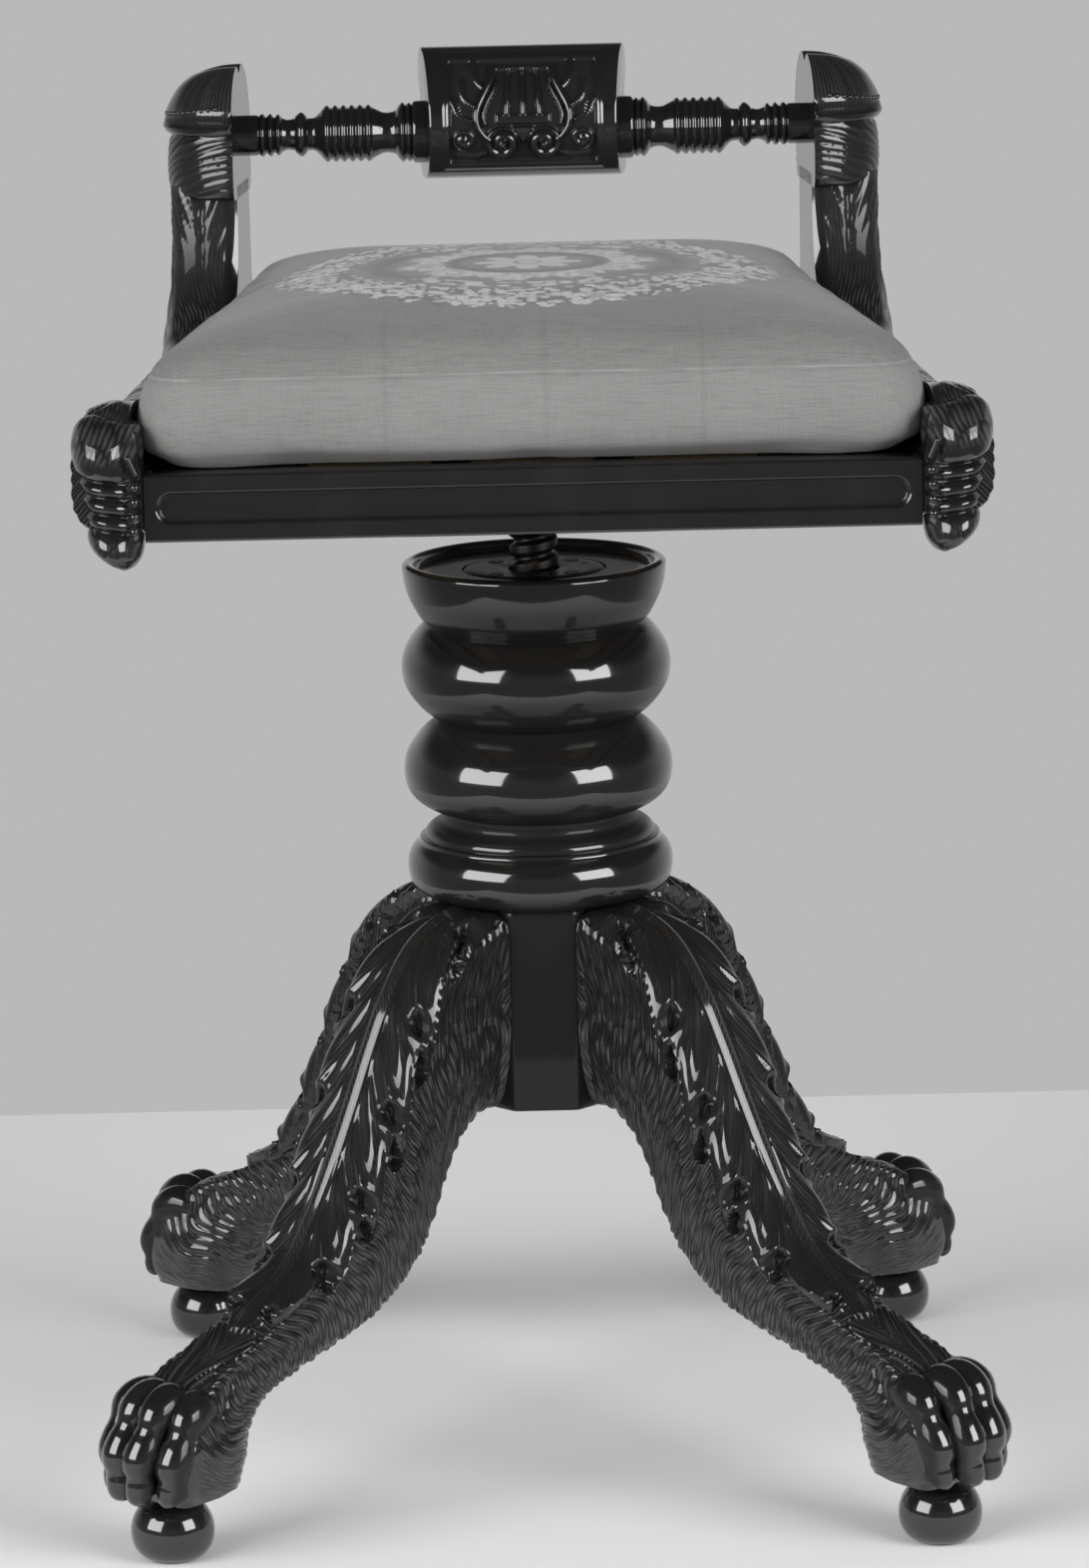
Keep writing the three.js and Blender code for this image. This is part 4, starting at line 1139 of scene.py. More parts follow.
        # The hollow share is painted shade: in the leaf's eyes and folds, between the locks of fur and under
        # the leaf's tip
        return Leafage(base + leaf.height + curl + fur_height + tufts + heel + tendons,
                       np.clip(leaf.hollow + 0.4 * fur * (1 - lock) + tip_shade, 0, 1),
                       np.where(plain > 0.5, drift / self.strand_width, leaf.strand),
                       leaf.hair + fur + flank, away / 14 + along / 90)

    def toes(self) -> list:
        """Each toe is a tube along a knuckled path, set out across the paw.

        Returns:
            The toes' grids, in the leg's own plane.
        """
        path = curve_through(self.toe_path, self.toe_points)
        start = 1 - smooth(np.arange(self.toe_points), 2, 18)
        share = np.linspace(0, 1, self.toe_points)
        grids = []
        for across, forward in self.toe_places:
            outer = abs(across) / self.toe_places[-1][0]
            aside = across * (1 - 0.35 * start) + 0.8 * np.sin(7 * share + across)
            height = path[:, 1] - 6.5 * outer * start - 2.6 * outer * np.sin(math.pi * share)
            line = np.stack([path[:, 0] + forward, aside, height], 1)
            grids.append(tube(line, path[:, 2], self.toe_segments))
        return grids

    def between_toes(self, toe: np.ndarray) -> Leafage:
        """Shade on a toe's flanks, where its surface faces the next toe.

        Args:
            toe: The toe's rings.

        Returns:
            The shade at its points.
        """
        out = toe - toe.mean(1, keepdims=True)
        aside = np.abs(out[..., 1]) / np.maximum(np.linalg.norm(out, axis=2), 1e-6)
        return Leafage(hollow=0.8 * smooth(aside, 0.62, 0.95))

    def build(self) -> None:
        """Make the leg with its paw."""
        grid = self.plain()
        carving = self.carving(grid)
        row = np.arange(self.rows)
        ends = smooth(row, 0, 4) * (1 - smooth(row, self.rows - 5, self.rows - 1))
        carved = grid + normals_of(grid) * (carving.height * ends[:, None])[..., None]
        carved[..., 2] = np.maximum(carved[..., 2], self.ball_top + 0.3)
        shell = Shell().add(turned_about(carved, self.corner.value), carving)
        for toe in self.toes():
            shell.add(turned_about(toe, self.corner.value), self.between_toes(toe))
        name = f"leg_{self.corner.label}"
        self.wooden(f"carved_{name}", name, shell)


@dataclass
class Base(Part):
    """Everything that stands still: legs, ball feet, hub, turned column and the iron nut."""
    body: ClassVar[Body] = Body.BASE
    foot_reach: float = 226.27
    ball_radius: float = 17.5
    ball_height: float = 25.0
    hub_flat: float = 45.8
    hub_corner: float = 42.3
    hub_bottom: float = 157.2
    hub_top: float = 245.9
    hub_ease: float = 2.2
    hub_segments: int = 320
    column_segments: int = 192
    nut_segments: int = 96
    ball_segments: int = 64
    screw_segments: int = 28
    recess_floor: float = 386.6
    nut_radius: float = 30.4
    nut_screw_circle: float = 23.0
    screw_head: ClassVar[list] = [[0.6, -3], [3.2, -2.2], [3.4, 0.35], [3.1, 0.6], [0.5, 0.7]]
    slot_half_width: float = 0.55
    slot_depth: float = 0.5
    ball_profile: ClassVar[list] = [
        [0.34, 0.0], [0.72, 0.05], [0.93, 0.22], [1, 0.46], [0.94, 0.7], [0.75, 0.9], [0.46, 1.0]]
    # The hub's socket for the column's tenon and its bore for the screw, from the top down
    hub_inside: ClassVar[list] = [
        [20.2, 245.9], [20.2, 229], [20.2, 212.0], [12.6, 212.0], [12.6, 185], [12.6, 157.2]]
    # The column's outline from its foot up, in stretches that meet in sharp corners
    column_profile: ClassVar[list] = [
        [[46, 246.2], [50.5, 246.4], [54.2, 248.6], [56.5, 252], [57.5, 257], [57.1, 262], [55.2, 266],
         [52, 268.9]],
        [[52, 268.9], [52, 270.6]],
        [[52, 270.6], [49.6, 270.9]],
        [[49.6, 270.9], [49.4, 273], [47.4, 275.2], [44.2, 276.4]],
        [[44.2, 276.4], [42.6, 277.6], [42.2, 280], [42.6, 282.2]],
        [[42.6, 282.2], [47.2, 284], [52.2, 287], [55.8, 291], [57.7, 296], [58.1, 301.5], [56.6, 308],
         [52.6, 314.3], [47.5, 319.2], [42.6, 321.9]],
        [[42.6, 321.9], [46.2, 324.6], [49.8, 327.6], [54.3, 333.1], [57.2, 338.8], [58.2, 344.8],
         [57.4, 350.5], [55, 356], [51.4, 360.8], [47.2, 364.4]],
        [[47.2, 364.4], [49.6, 367], [51.6, 370.4], [54.6, 376.6], [56.2, 382.2], [56.9, 387]],
        [[56.9, 387], [56.7, 389.4], [54.6, 390.6], [52.5, 390.2], [51.7, 389.2]],
        [[51.7, 389.2], [51.5, 388], [50.4, 386.7], [48, 386.6]],
        [[48, 386.6], [31, 386.6]]]
    # Inside it, down the recess and the bore, and up the tenon
    column_inside: ClassVar[list] = [
        [31, 386.6], [31, 383.3], [16.3, 383.3], [16.3, 356.3], [12.5, 356.3], [12.5, 212.2],
        [20, 212.2], [20, 246.2], [46, 246.2]]

    def build(self) -> None:
        """Make every piece of the base."""
        for corner in Corner:
            Leg(self.finishes, corner).build()
            self.ball(corner)
        self.hub()
        self.column()
        self.nut()

    def ball(self, corner: Corner) -> None:
        """A ball foot: its outline turned about an upright line.

        Args:
            corner: The leg that stands on it.
        """
        profile = evenly(curve_through(self.ball_profile, 300), 44) * [self.ball_radius, self.ball_height]
        spot = turned_about(np.array([self.foot_reach, 0, 0]), corner.value)
        name = f"ball_foot_{corner.label}"
        self.wooden(f"turned_{name}", name, Shell().add(lathe(profile, self.ball_segments) + spot))

    def hub(self) -> None:
        """The eight-sided hub: at each angle the lesser of two squares' reach, with eased corners and rims,
        round its socket and bore."""
        angle = full_turn(self.hub_segments)
        turned = angle - np.array([[0.0], [math.pi / 4]])
        halves = np.array([[self.hub_flat], [self.hub_corner]])
        squares = halves / np.maximum(np.abs(np.cos(turned)), np.abs(np.sin(turned)))
        plan = -np.log(np.exp(-squares * self.hub_ease).sum(0)) / self.hub_ease
        heights = np.array([0, 0.25, 1.0, 2.2, 44, 86, 88, 88.55, self.hub_top - self.hub_bottom])
        inset = np.array([1.5, 0.8, 0.2, 0, 0, 0, 0.2, 0.8, 1.5])
        outside = about_axis(plan - inset[:, None], angle, self.hub_bottom + heights[:, None])
        grid = np.vstack([outside, lathe(np.array(self.hub_inside), self.hub_segments)])
        # The hub's polish is dulled all over by the hollow share: painted shade that keeps it dark
        self.wooden("bevelled_hub", "hub_block", Shell().add(grid, Leafage(hollow=0.8), caps=False))

    def column(self) -> None:
        """The turned column: its whole outline, outside and bore, turned about the axis; its polish is dulled
        in the necks and on the undersides as painted shade, so that they reflect little."""
        outside = cornered(self.column_profile, 250)
        outline = np.vstack([outside, straight(self.column_inside, 2, closed=False)[1:]])
        grid = lathe(outline, self.column_segments)
        # Painted shade: the undersides and the necks get a high hollow share, which dulls their polish
        under = 0.75 * smooth(-normals_of(grid)[..., 2], 0.05, 0.6)
        dull = np.maximum(0.9 * (1 - smooth(outline[:, :1], 43, 53)), under)
        self.wooden("fine_column", "turned_column", Shell().add(grid, Leafage(hollow=dull), caps=False))

    def nut(self) -> None:
        """The nut's flange and sleeve turned about the axis, and the four screws' slotted heads."""
        top, radius = self.recess_floor, self.nut_radius
        profile = straight([[11.2, top], [11.9, top + 0.3], [29.4, top + 0.3], [radius, top - 0.5],
                            [radius, top - 3], [16, top - 3], [16, top - 30], [11.2, top - 30]], 3)
        flange = Shell().add(lathe(profile, self.nut_segments), caps=False)
        make_piece("threaded_nut", flange.mesh("nut"), self.finishes.iron, self.body, ["screw_nut"])
        head = lathe(np.array(self.screw_head), self.screw_segments)
        in_slot = (np.abs(head[..., 1]) < self.slot_half_width) & (head[..., 2] > 0)
        head[..., 2] -= self.slot_depth * in_slot
        for number, corner in enumerate(Corner, 1):
            spot = turned_about(np.array([self.nut_screw_circle, 0, top]), corner.value)
            name = f"nut_screw_{number}"
            screw = Shell().add(head + spot)
            make_piece(f"slotted_{name}", screw.mesh(name), self.finishes.iron, self.body, [name])


# The lift


@dataclass
class Lift(Part):
    """The iron screw under the seat, with its washer and plate."""
    pitch: float = 8.0
    crest: float = 10.4
    root: float = 8.2
    bottom: float = 276.6
    shoulder: float = 430.8
    plate_top: float = 438.8
    thread_start: float = 386.6
    rows: int = 420
    columns: int = 56

    def build(self) -> None:
        """Make the screw: its radius, from root to crest, follows the height less pitch times the turn."""
        heights = np.linspace(self.bottom, self.shoulder, self.rows)[:, None]
        angle = full_turn(self.columns)
        phase = ((heights - self.thread_start) / self.pitch - angle / (2 * math.pi)) % 1.0
        radius = self.root + (self.crest - self.root) * smooth(1 - 2 * np.abs(phase - 0.5), 0.12, 0.62)
        radius = radius * (0.78 + 0.22 * smooth(heights, self.bottom, self.bottom + 2.5))
        top = self.plate_top
        profile = [[6.0, self.shoulder - 12], [7, self.shoulder - 11.5], [7, top + 0.3], [9.3, top + 0.3],
                   [9.5, top + 1], [8.6, top + 2.4], [6, top + 3], [2, top + 3]]
        neck = lathe(np.array(profile), 48)
        shell = Shell().add(about_axis(radius, angle, heights)).add(neck)
        make_piece("threaded_screw", shell.mesh("screw"), self.finishes.iron, self.body, ["lift_screw"])
        for node in ["thrust_washer", "seat_plate", *(f"plate_screw_{k}" for k in range(1, 5))]:
            self.finishes.dress(node, self.finishes.iron)


# The seat


@dataclass(frozen=True)
class SeatPlan:
    """The plan that the seat's pieces share: arms that stand further apart in front than behind."""
    inner_at_axis: float = 140.4
    splay_degrees: float = 5.3
    give_depth: float = 5.2
    # Heights over the rail between which the hollow reaches its depth
    give_heights: tuple = (458.0, 464.0)

    def give(self, y: Any) -> Any:
        """How deep the arm's inner face is hollowed for the cushion: it rises towards the front corner."""
        return self.give_depth * (1 - smooth(y, -168, -70))

    def inner(self, y: Any) -> Any:
        """Half the width between the arms: that at the axis less y times the splay's tangent."""
        return self.inner_at_axis - y * math.tan(math.radians(self.splay_degrees))

    def placed(self, points: np.ndarray, side: Side) -> np.ndarray:
        """Points of an arm's own plane put on one side of the seat: turned by the splay, moved out, then
        mirrored on the left.

        Args:
            points: Outward, backward and upward coordinates.
            side: Which side of the seat.

        Returns:
            The points in the stool's frame.
        """
        moved = turned_about(points, self.splay_degrees) + np.array([self.inner_at_axis, 0, 0])
        return moved * np.array([side.value, 1, 1])


@dataclass
class SeatPart(Part):
    """Pieces of the seat, which all follow its plan."""
    plan: ClassVar[SeatPlan] = SeatPlan()


@dataclass
class SeatRail(SeatPart):
    """A seat rail between the arms; the front one has a long sunk panel with a bead round it."""
    name: str
    face: float
    inward: int
    panelled: bool
    bottom: float = 429.5
    top: float = 457.5
    thickness: float = 22.0
    rebate: float = 11.0
    ledge: float = 442.1
    panel_half_height: float = 6.6
    panel_depth: float = 2.3
    panel_end_gap: float = 5.0
    end_gap: float = 0.3
    rows: int = 460
    ease: float = 1.4

    def build(self) -> None:
        """Sweep the rail's section along X between the arms, and sink the panel into its face."""
        ease = self.ease
        knots = [[0, self.bottom + ease], [0, self.top - ease], [0.4, self.top - 0.4], [ease, self.top],
                 [self.rebate, self.top], [self.rebate, self.ledge], [self.thickness, self.ledge],
                 [self.thickness, self.bottom], [ease, self.bottom], [0.4, self.bottom + 0.4]]
        ring = straight(knots, [96, 3, 3, 6, 8, 6, 6, 10, 3, 3])
        y = self.face + self.inward * ring[:, 0]
        x = np.linspace(-1, 1, self.rows)[:, None] * (self.plan.inner(y) - self.end_gap)
        grid = np.stack([x, y + 0 * x, ring[:, 1] + 0 * x], -1)
        hollow = 0.0
        if self.panelled:
            reach = self.plan.inner(self.face) - self.panel_end_gap - self.panel_half_height
            outside = np.hypot(np.maximum(np.abs(x) - reach, 0), ring[:, 1] - (self.bottom + self.top) / 2)
            edge = outside - self.panel_half_height
            on_face = ring[:, 0] == 0
            sink = self.panel_depth * (1 - smooth(edge, -1.7, 0.1)) - 0.22 * bell(edge - 1.0, 0.8)
            swell = 0.35 * np.clip(1 - (outside / self.panel_half_height) ** 2, 0, 1)
            grid[..., 1] += self.inward * on_face * (sink - swell)
            # Painted shade: the polish is dulled just inside the panel's edge, in the recess
            hollow = on_face * bell(edge + 1.6, 0.8) * 0.7
        self.wooden(f"moulded_{self.name}", self.name, Shell().add(grid, Leafage(hollow=hollow)))


@dataclass
class SideArm(SeatPart):
    """A carved arm in one piece: front terminal, arm beside the seat, rear post and its head."""
    side: Side
    rows: int = 360
    columns: int = 132
    inner_columns: int = 26
    top_column: int = 10
    top_offset: float = 13.5
    # Distances along the arm between which the post's leaf starts, its fans start and it ends
    leaf_start: tuple = (292.0, 316.0)
    fans_start: tuple = (312.0, 350.0)
    leaf_end: tuple = (388.0, 400.0)
    flute_width: float = 4.2
    fan_width: float = 13.0
    lock_width: float = 6.0
    strand_width: float = 1.9
    wrap_width: float = 3.6
    dome_ribs: float = 17.0
    arm_front: float = -176.0
    post_front: float = 131.0
    post_rear: float = 173.0
    rail_bottom: float = 429.5
    arm_top: float = 471.5
    head_bottom: float = 535.5
    arm_thickness: float = 28.0
    post_thickness: float = 31.0
    head_thickness: float = 35.0
    head_depth: float = 64.0
    head_height: float = 57.0
    head_centre: float = 151.0
    head_columns: int = 120
    edge_rows: ClassVar[list] = [
        [0, 1.07, 0, 0.12, 0.3], [0.05, 1.19, 0.05, 0, 0.3], [0.11, 1.19, 0.11, 0, 0.3],
        [0.2, 1.1, 0.2, 0, 0.4], [0.32, 1.05, 0.32, 0, 0.5], [0.55, 1.05, 0.55, 0, 0.6],
        [0.73, 1.05, 0.8, 0, 0.9], [0.85, 1.07, 0.97, 0, 1.6],
        [0.915, 1.16, 1.63, 0.03, 2.3], [0.958, 1.31, 2.04, 0.25, 2.3], [0.985, 1.52, 2.09, 0.76, 1.7],
        [0.997, 1.78, 2.04, 1.37, 1.1], [1, 2.06, 2, 2.06, 1]]
    outer_section: ClassVar[list] = [
        [0.09, 1], [0.5, 1], [0.82, 0.88], [0.97, 0.58], [1, 0.2], [1, -0.2], [0.97, -0.58], [0.82, -0.88],
        [0.5, -1], [0.09, -1]]
    head_profile: ClassVar[list] = [
        [[0.83, -0.03], [0.89, 0.01], [0.93, 0.09], [0.94, 0.22], [0.92, 0.38], [0.88, 0.465]],
        [[0.88, 0.465], [0.95, 0.485], [1.0, 0.53]],
        [[1.0, 0.53], [0.975, 0.6], [0.9, 0.71], [0.77, 0.83], [0.58, 0.92], [0.36, 0.975], [0.1, 0.998]]]
    # Front terminal: height, outer and inner place, and how far it stands before the arm
    terminal_rows: ClassVar[list] = [
        [479.6, 19, 5, -3], [478.8, 23.6, 1.5, 3.0], [475.6, 27.0, 0.4, 8.6], [470.5, 28.6, 0, 12.4],
        [464.6, 28.8, 0, 13.4], [460.2, 28.3, 0, 13.0],
        [457.4, 26.8, 0, 11.2], [455.8, 25.4, 0, 7.8], [453.6, 26.2, 0, 10.6], [451.3, 25.6, 0, 10.2],
        [449.4, 24, 0, 6.8], [446.8, 25, 0, 9.8], [444.2, 24.3, 0, 9.4], [442.2, 22.8, 0, 6.0],
        [439.9, 23.9, 0, 9.0], [437.4, 23.3, 0, 8.6],
        [435.4, 22.0, 0.5, 5.4], [432.6, 23.4, 0.6, 8.0], [428.6, 23.0, 0.8, 9.4], [424.8, 20.6, 2.0, 8.6],
        [421.6, 16.4, 4.6, 5.6], [420.2, 12.0, 7.4, 1.6]]
    bead_rows: ClassVar[list] = [
        [[3.5, -186.5, 466], [1.0, -184.5, 459.5], 9, 1.15],
        [[1.4, -184.4, 454], [2.4, -182.4, 436], 4, 1.7]]
    # Beads round the dome: their number, first and last angle, and radius
    dome_beads: ClassVar[tuple] = (17, -1.35, 0.35, 1.15)
    dome_reach: ClassVar[tuple] = (32.6, 29.6)
    dome_bottom: float = 571.2
    dome_rise: float = 4.6
    # Scrolls along the arm: place, radius and hand
    whorls: ClassVar[list] = [
        [24, 17, 1], [66, 15, -1], [108, 15, 1], [150, 15, -1], [192, 14, 1], [234, 13, -1]]

    def plain(self) -> tuple:
        """The arm before carving: rows between a top and a bottom edge, with a section that is flat inside.

        Returns:
            The grid in the arm's own plane, and which of a row's points aren't on the flat inner face.
        """
        rows = weighed(self.edge_rows, [40, 1, 40, 1, 0.1], self.rows)
        y_stops = [self.arm_front, self.post_front, self.post_rear, 2 * self.post_rear - self.post_front]
        z_stops = [self.rail_bottom, self.arm_top, self.head_bottom, 2 * self.head_bottom - self.arm_top]
        y1, y2 = (np.interp(rows[:, k], [0, 1, 2, 3], y_stops)[:, None] for k in (0, 2))
        z1, z2 = (np.interp(rows[:, k], [0, 1, 2, 3], z_stops)[:, None] for k in (1, 3))
        thick = self.arm_thickness + rows[:, 4:] * (self.post_thickness - self.arm_thickness)
        outer = evenly(curve_through(self.outer_section, 600), self.columns - self.inner_columns)
        inner = np.linspace([0, -0.93], [0, 0.93], self.inner_columns)
        out, depth = np.vstack([outer, inner]).T
        grid = np.stack([out * thick, (y1 + y2) / 2 + depth * (y1 - y2) / 2,
                         (z1 + z2) / 2 + depth * (z1 - z2) / 2], -1)
        return grid, np.arange(self.columns) < len(outer)

    def carving(self, grid: np.ndarray, outer: np.ndarray) -> Leafage:
        """Scrolls and hair along the arm, a leaf of fanned flutes and a groove up the front of the post, and
        hair down its outer side.

        Args:
            grid: The plain arm.
            outer: Which of a row's points aren't on the flat inner face.

        Returns:
            The carving at its points.
        """
        along = distances(grid[:, self.top_column])[:, None] + 0 * grid[..., 0]
        steps = np.linalg.norm(np.diff(grid, axis=1), axis=2)
        around = np.concatenate([0 * steps[:, :1], np.cumsum(steps, axis=1)], axis=1)
        across = around - self.top_offset
        rising = smooth(along, *self.leaf_start)
        leaf_mask = rising * (1 - smooth(along, *self.leaf_end))
        fans = leaf_mask * smooth(along, *self.fans_start)
        fan = np.abs(across) - 0.42 * (along - 345)
        flutes = 0.5 * np.cos(2 * math.pi * fan / self.flute_width)
        swells = 0.9 * np.abs(np.sin(math.pi * (fan - 2) / self.fan_width)) ** 0.6
        height = fans * (flutes + swells) - 1.3 * leaf_mask * bell(across, 1.4)
        scrolls = np.zeros(along.shape)
        for place, radius, hand in self.whorls:
            scrolls = np.maximum(scrolls, whorl(along - place, across - 12 + 3 * hand, radius, 3.0, hand))
        low_side = smooth(across, 15, 20)
        hair = outer * (1 - leaf_mask * (1 - low_side)) * (1 - 0.5 * scrolls) * smooth(across, -10, -4)
        drift = across + 4 * np.sin(along / 19) + 1.2 * np.sin(along / 7.3)
        lock = locks(drift / self.lock_width, along / 30 + across / 50)
        height = height + (1 - rising) * (0.7 * scrolls - 0.4)
        height = height + outer * smooth(across, 12, 24) * 0.8 * (lock - 0.5)
        # Painted shade: the polish is dulled on the post's leaf, less on its fans, and between the arm's
        # scrolls
        hollow = leaf_mask * (0.93 - 0.5 * fans) + 0.2 * (1 - scrolls) * (1 - rising)
        mask = outer * smooth(around, 1.5, 4.5)
        return Leafage(mask * (height - 0.4), mask * hollow, drift / self.strand_width,
                       mask * np.clip(0.9 * hair + 0.2 * leaf_mask, 0, 1), along / 15)

    def head(self) -> tuple:
        """Half of a turned form with a flat inner face: the band has wrapped strands, the dome fine ribs.

        Returns:
            The grid in the arm's own plane, and its carving.
        """
        profile = cornered(self.head_profile, 140) * [self.head_thickness, self.head_height]
        radius, height = profile[:, :1], self.head_bottom + profile[:, 1:]
        angle = np.linspace(-math.pi / 2, math.pi / 2, self.head_columns)
        depth = self.head_depth / (2 * self.head_thickness)
        chord = np.linspace(1, -1, 28)[1:-1]
        out = np.hstack([radius * np.cos(angle), 0 * radius * chord])
        back = np.hstack([radius * depth * np.sin(angle), radius * depth * chord])
        grid = np.stack([out, self.head_centre + back, height + 0 * out], -1)
        outer = np.arange(out.shape[1]) < self.head_columns
        turn = np.concatenate([angle, 0 * chord])
        share = (height - self.head_bottom) / self.head_height
        band = outer * smooth(share, 0.0, 0.05) * (1 - smooth(share, 0.44, 0.47))
        slope = 15.0 * np.sin(turn)
        wraps = (height + slope + 3.0 * np.cos(turn) + 0.6 * np.sin(height / 2.3)) / self.wrap_width
        wrapped = np.abs(np.sin(math.pi * wraps))
        dome = outer * smooth(share, 0.55, 0.6)
        shaded = outer * bell(share - 0.585, 0.045) * smooth(-turn, -0.2, 0.5)
        raised = 0.65 * band * (wrapped ** 0.8 - 0.6) - 1.8 * shaded
        carved = grid + normals_of(grid) * raised[..., None]
        notch = 4.2 * bell(carved[..., 1] - self.head_centre, 4.6) * (1 - smooth(carved[..., 0], 4, 22))
        carved[..., 2] -= notch * smooth(share, 0.6, 0.9)
        carved[..., 0] = np.maximum(carved[..., 0], 0)
        # The hollow share is painted shade: under the dome's rim and between the band's strands
        return carved, Leafage(hollow=np.clip(shaded + band * (0.6 - 0.3 * wrapped), 0, 1),
                               strand=np.where(band > 0, wraps, turn * self.dome_ribs),
                               hair=0.5 * dome + 0.35 * band)

    def terminal(self) -> tuple:
        """The front terminal: for each height an oval in plan, half an ellipse forward of the arm and half
        one inside it, with a brow, three folds and a lower lobe down its front.

        Returns:
            The grid in the arm's own plane, and its carving.
        """
        rows = curve_through(self.terminal_rows, 190)
        height, outer, inner, reach = rows.T[:, :, None]
        angle = full_turn(76)
        middle, half = (outer + inner) / 2, (outer - inner) / 2
        forward = np.sin(angle)
        squarer = np.sign(np.cos(angle)) * np.abs(np.cos(angle)) ** 0.9
        y = self.arm_front + 8 - np.where(forward > 0, (reach + 8) * np.abs(forward) ** 1.1, 12 * forward)
        grid = np.stack([middle + half * squarer, y + 0 * half, height + 0 * y + 1.6 * np.cos(angle)], -1)
        sweep = (0.9 * grid[..., 0] + 0.3 * (grid[..., 2] - 420)) / 2.2
        brow = smooth(height, 461, 467) + 0.3 * (1 - smooth(height, 430, 434))
        folds = np.clip(1 - (reach - 5) / 5, 0, 1) * (height < 456)
        # Painted shade: the hollow share dulls the grooves between the folds
        return grid, Leafage(hollow=0.6 * folds, strand=sweep, hair=0.9 * brow, run=height / 9)

    def beads(self) -> list:
        """Rows of small balls: down the inner side of the terminal, and round the front of the dome.

        Returns:
            The balls' grids, in the arm's own plane.
        """
        grids = []
        for start, end, count, radius in self.bead_rows:
            grids += [bead(spot, radius) for spot in np.linspace(start, end, count)]
        count, first, last, radius = self.dome_beads
        out, back = self.dome_reach
        for turn in np.linspace(first, last, count):
            height = self.dome_bottom + self.dome_rise * (1 - np.cos(turn))
            spot = [out * math.cos(turn), self.head_centre + back * math.sin(turn), height]
            grids.append(bead(spot, radius))
        return grids

    def build(self) -> None:
        """Make the arm: its carved length, hollowed for the cushion, with its head, terminal and beads."""
        grid, outer = self.plain()
        carving = self.carving(grid, outer)
        carved = grid + normals_of(grid) * carving.height[..., None]
        out, back, up = np.moveaxis(carved, -1, 0)
        hollow = self.plan.give(back) * smooth(up, *self.plan.give_heights)
        hollow = hollow * smooth(back, self.arm_front, self.arm_front + 4)
        carved[..., 0] = np.maximum(out, hollow)
        shell = Shell()
        for part, part_carving in [(carved, carving), self.head(), self.terminal()]:
            shell.add(self.plan.placed(part, self.side), part_carving)
        for ball in self.beads():
            shell.add(self.plan.placed(ball, self.side))
        name = f"side_arm_{self.side.label}"
        self.wooden(f"carved_{name}", name, shell)


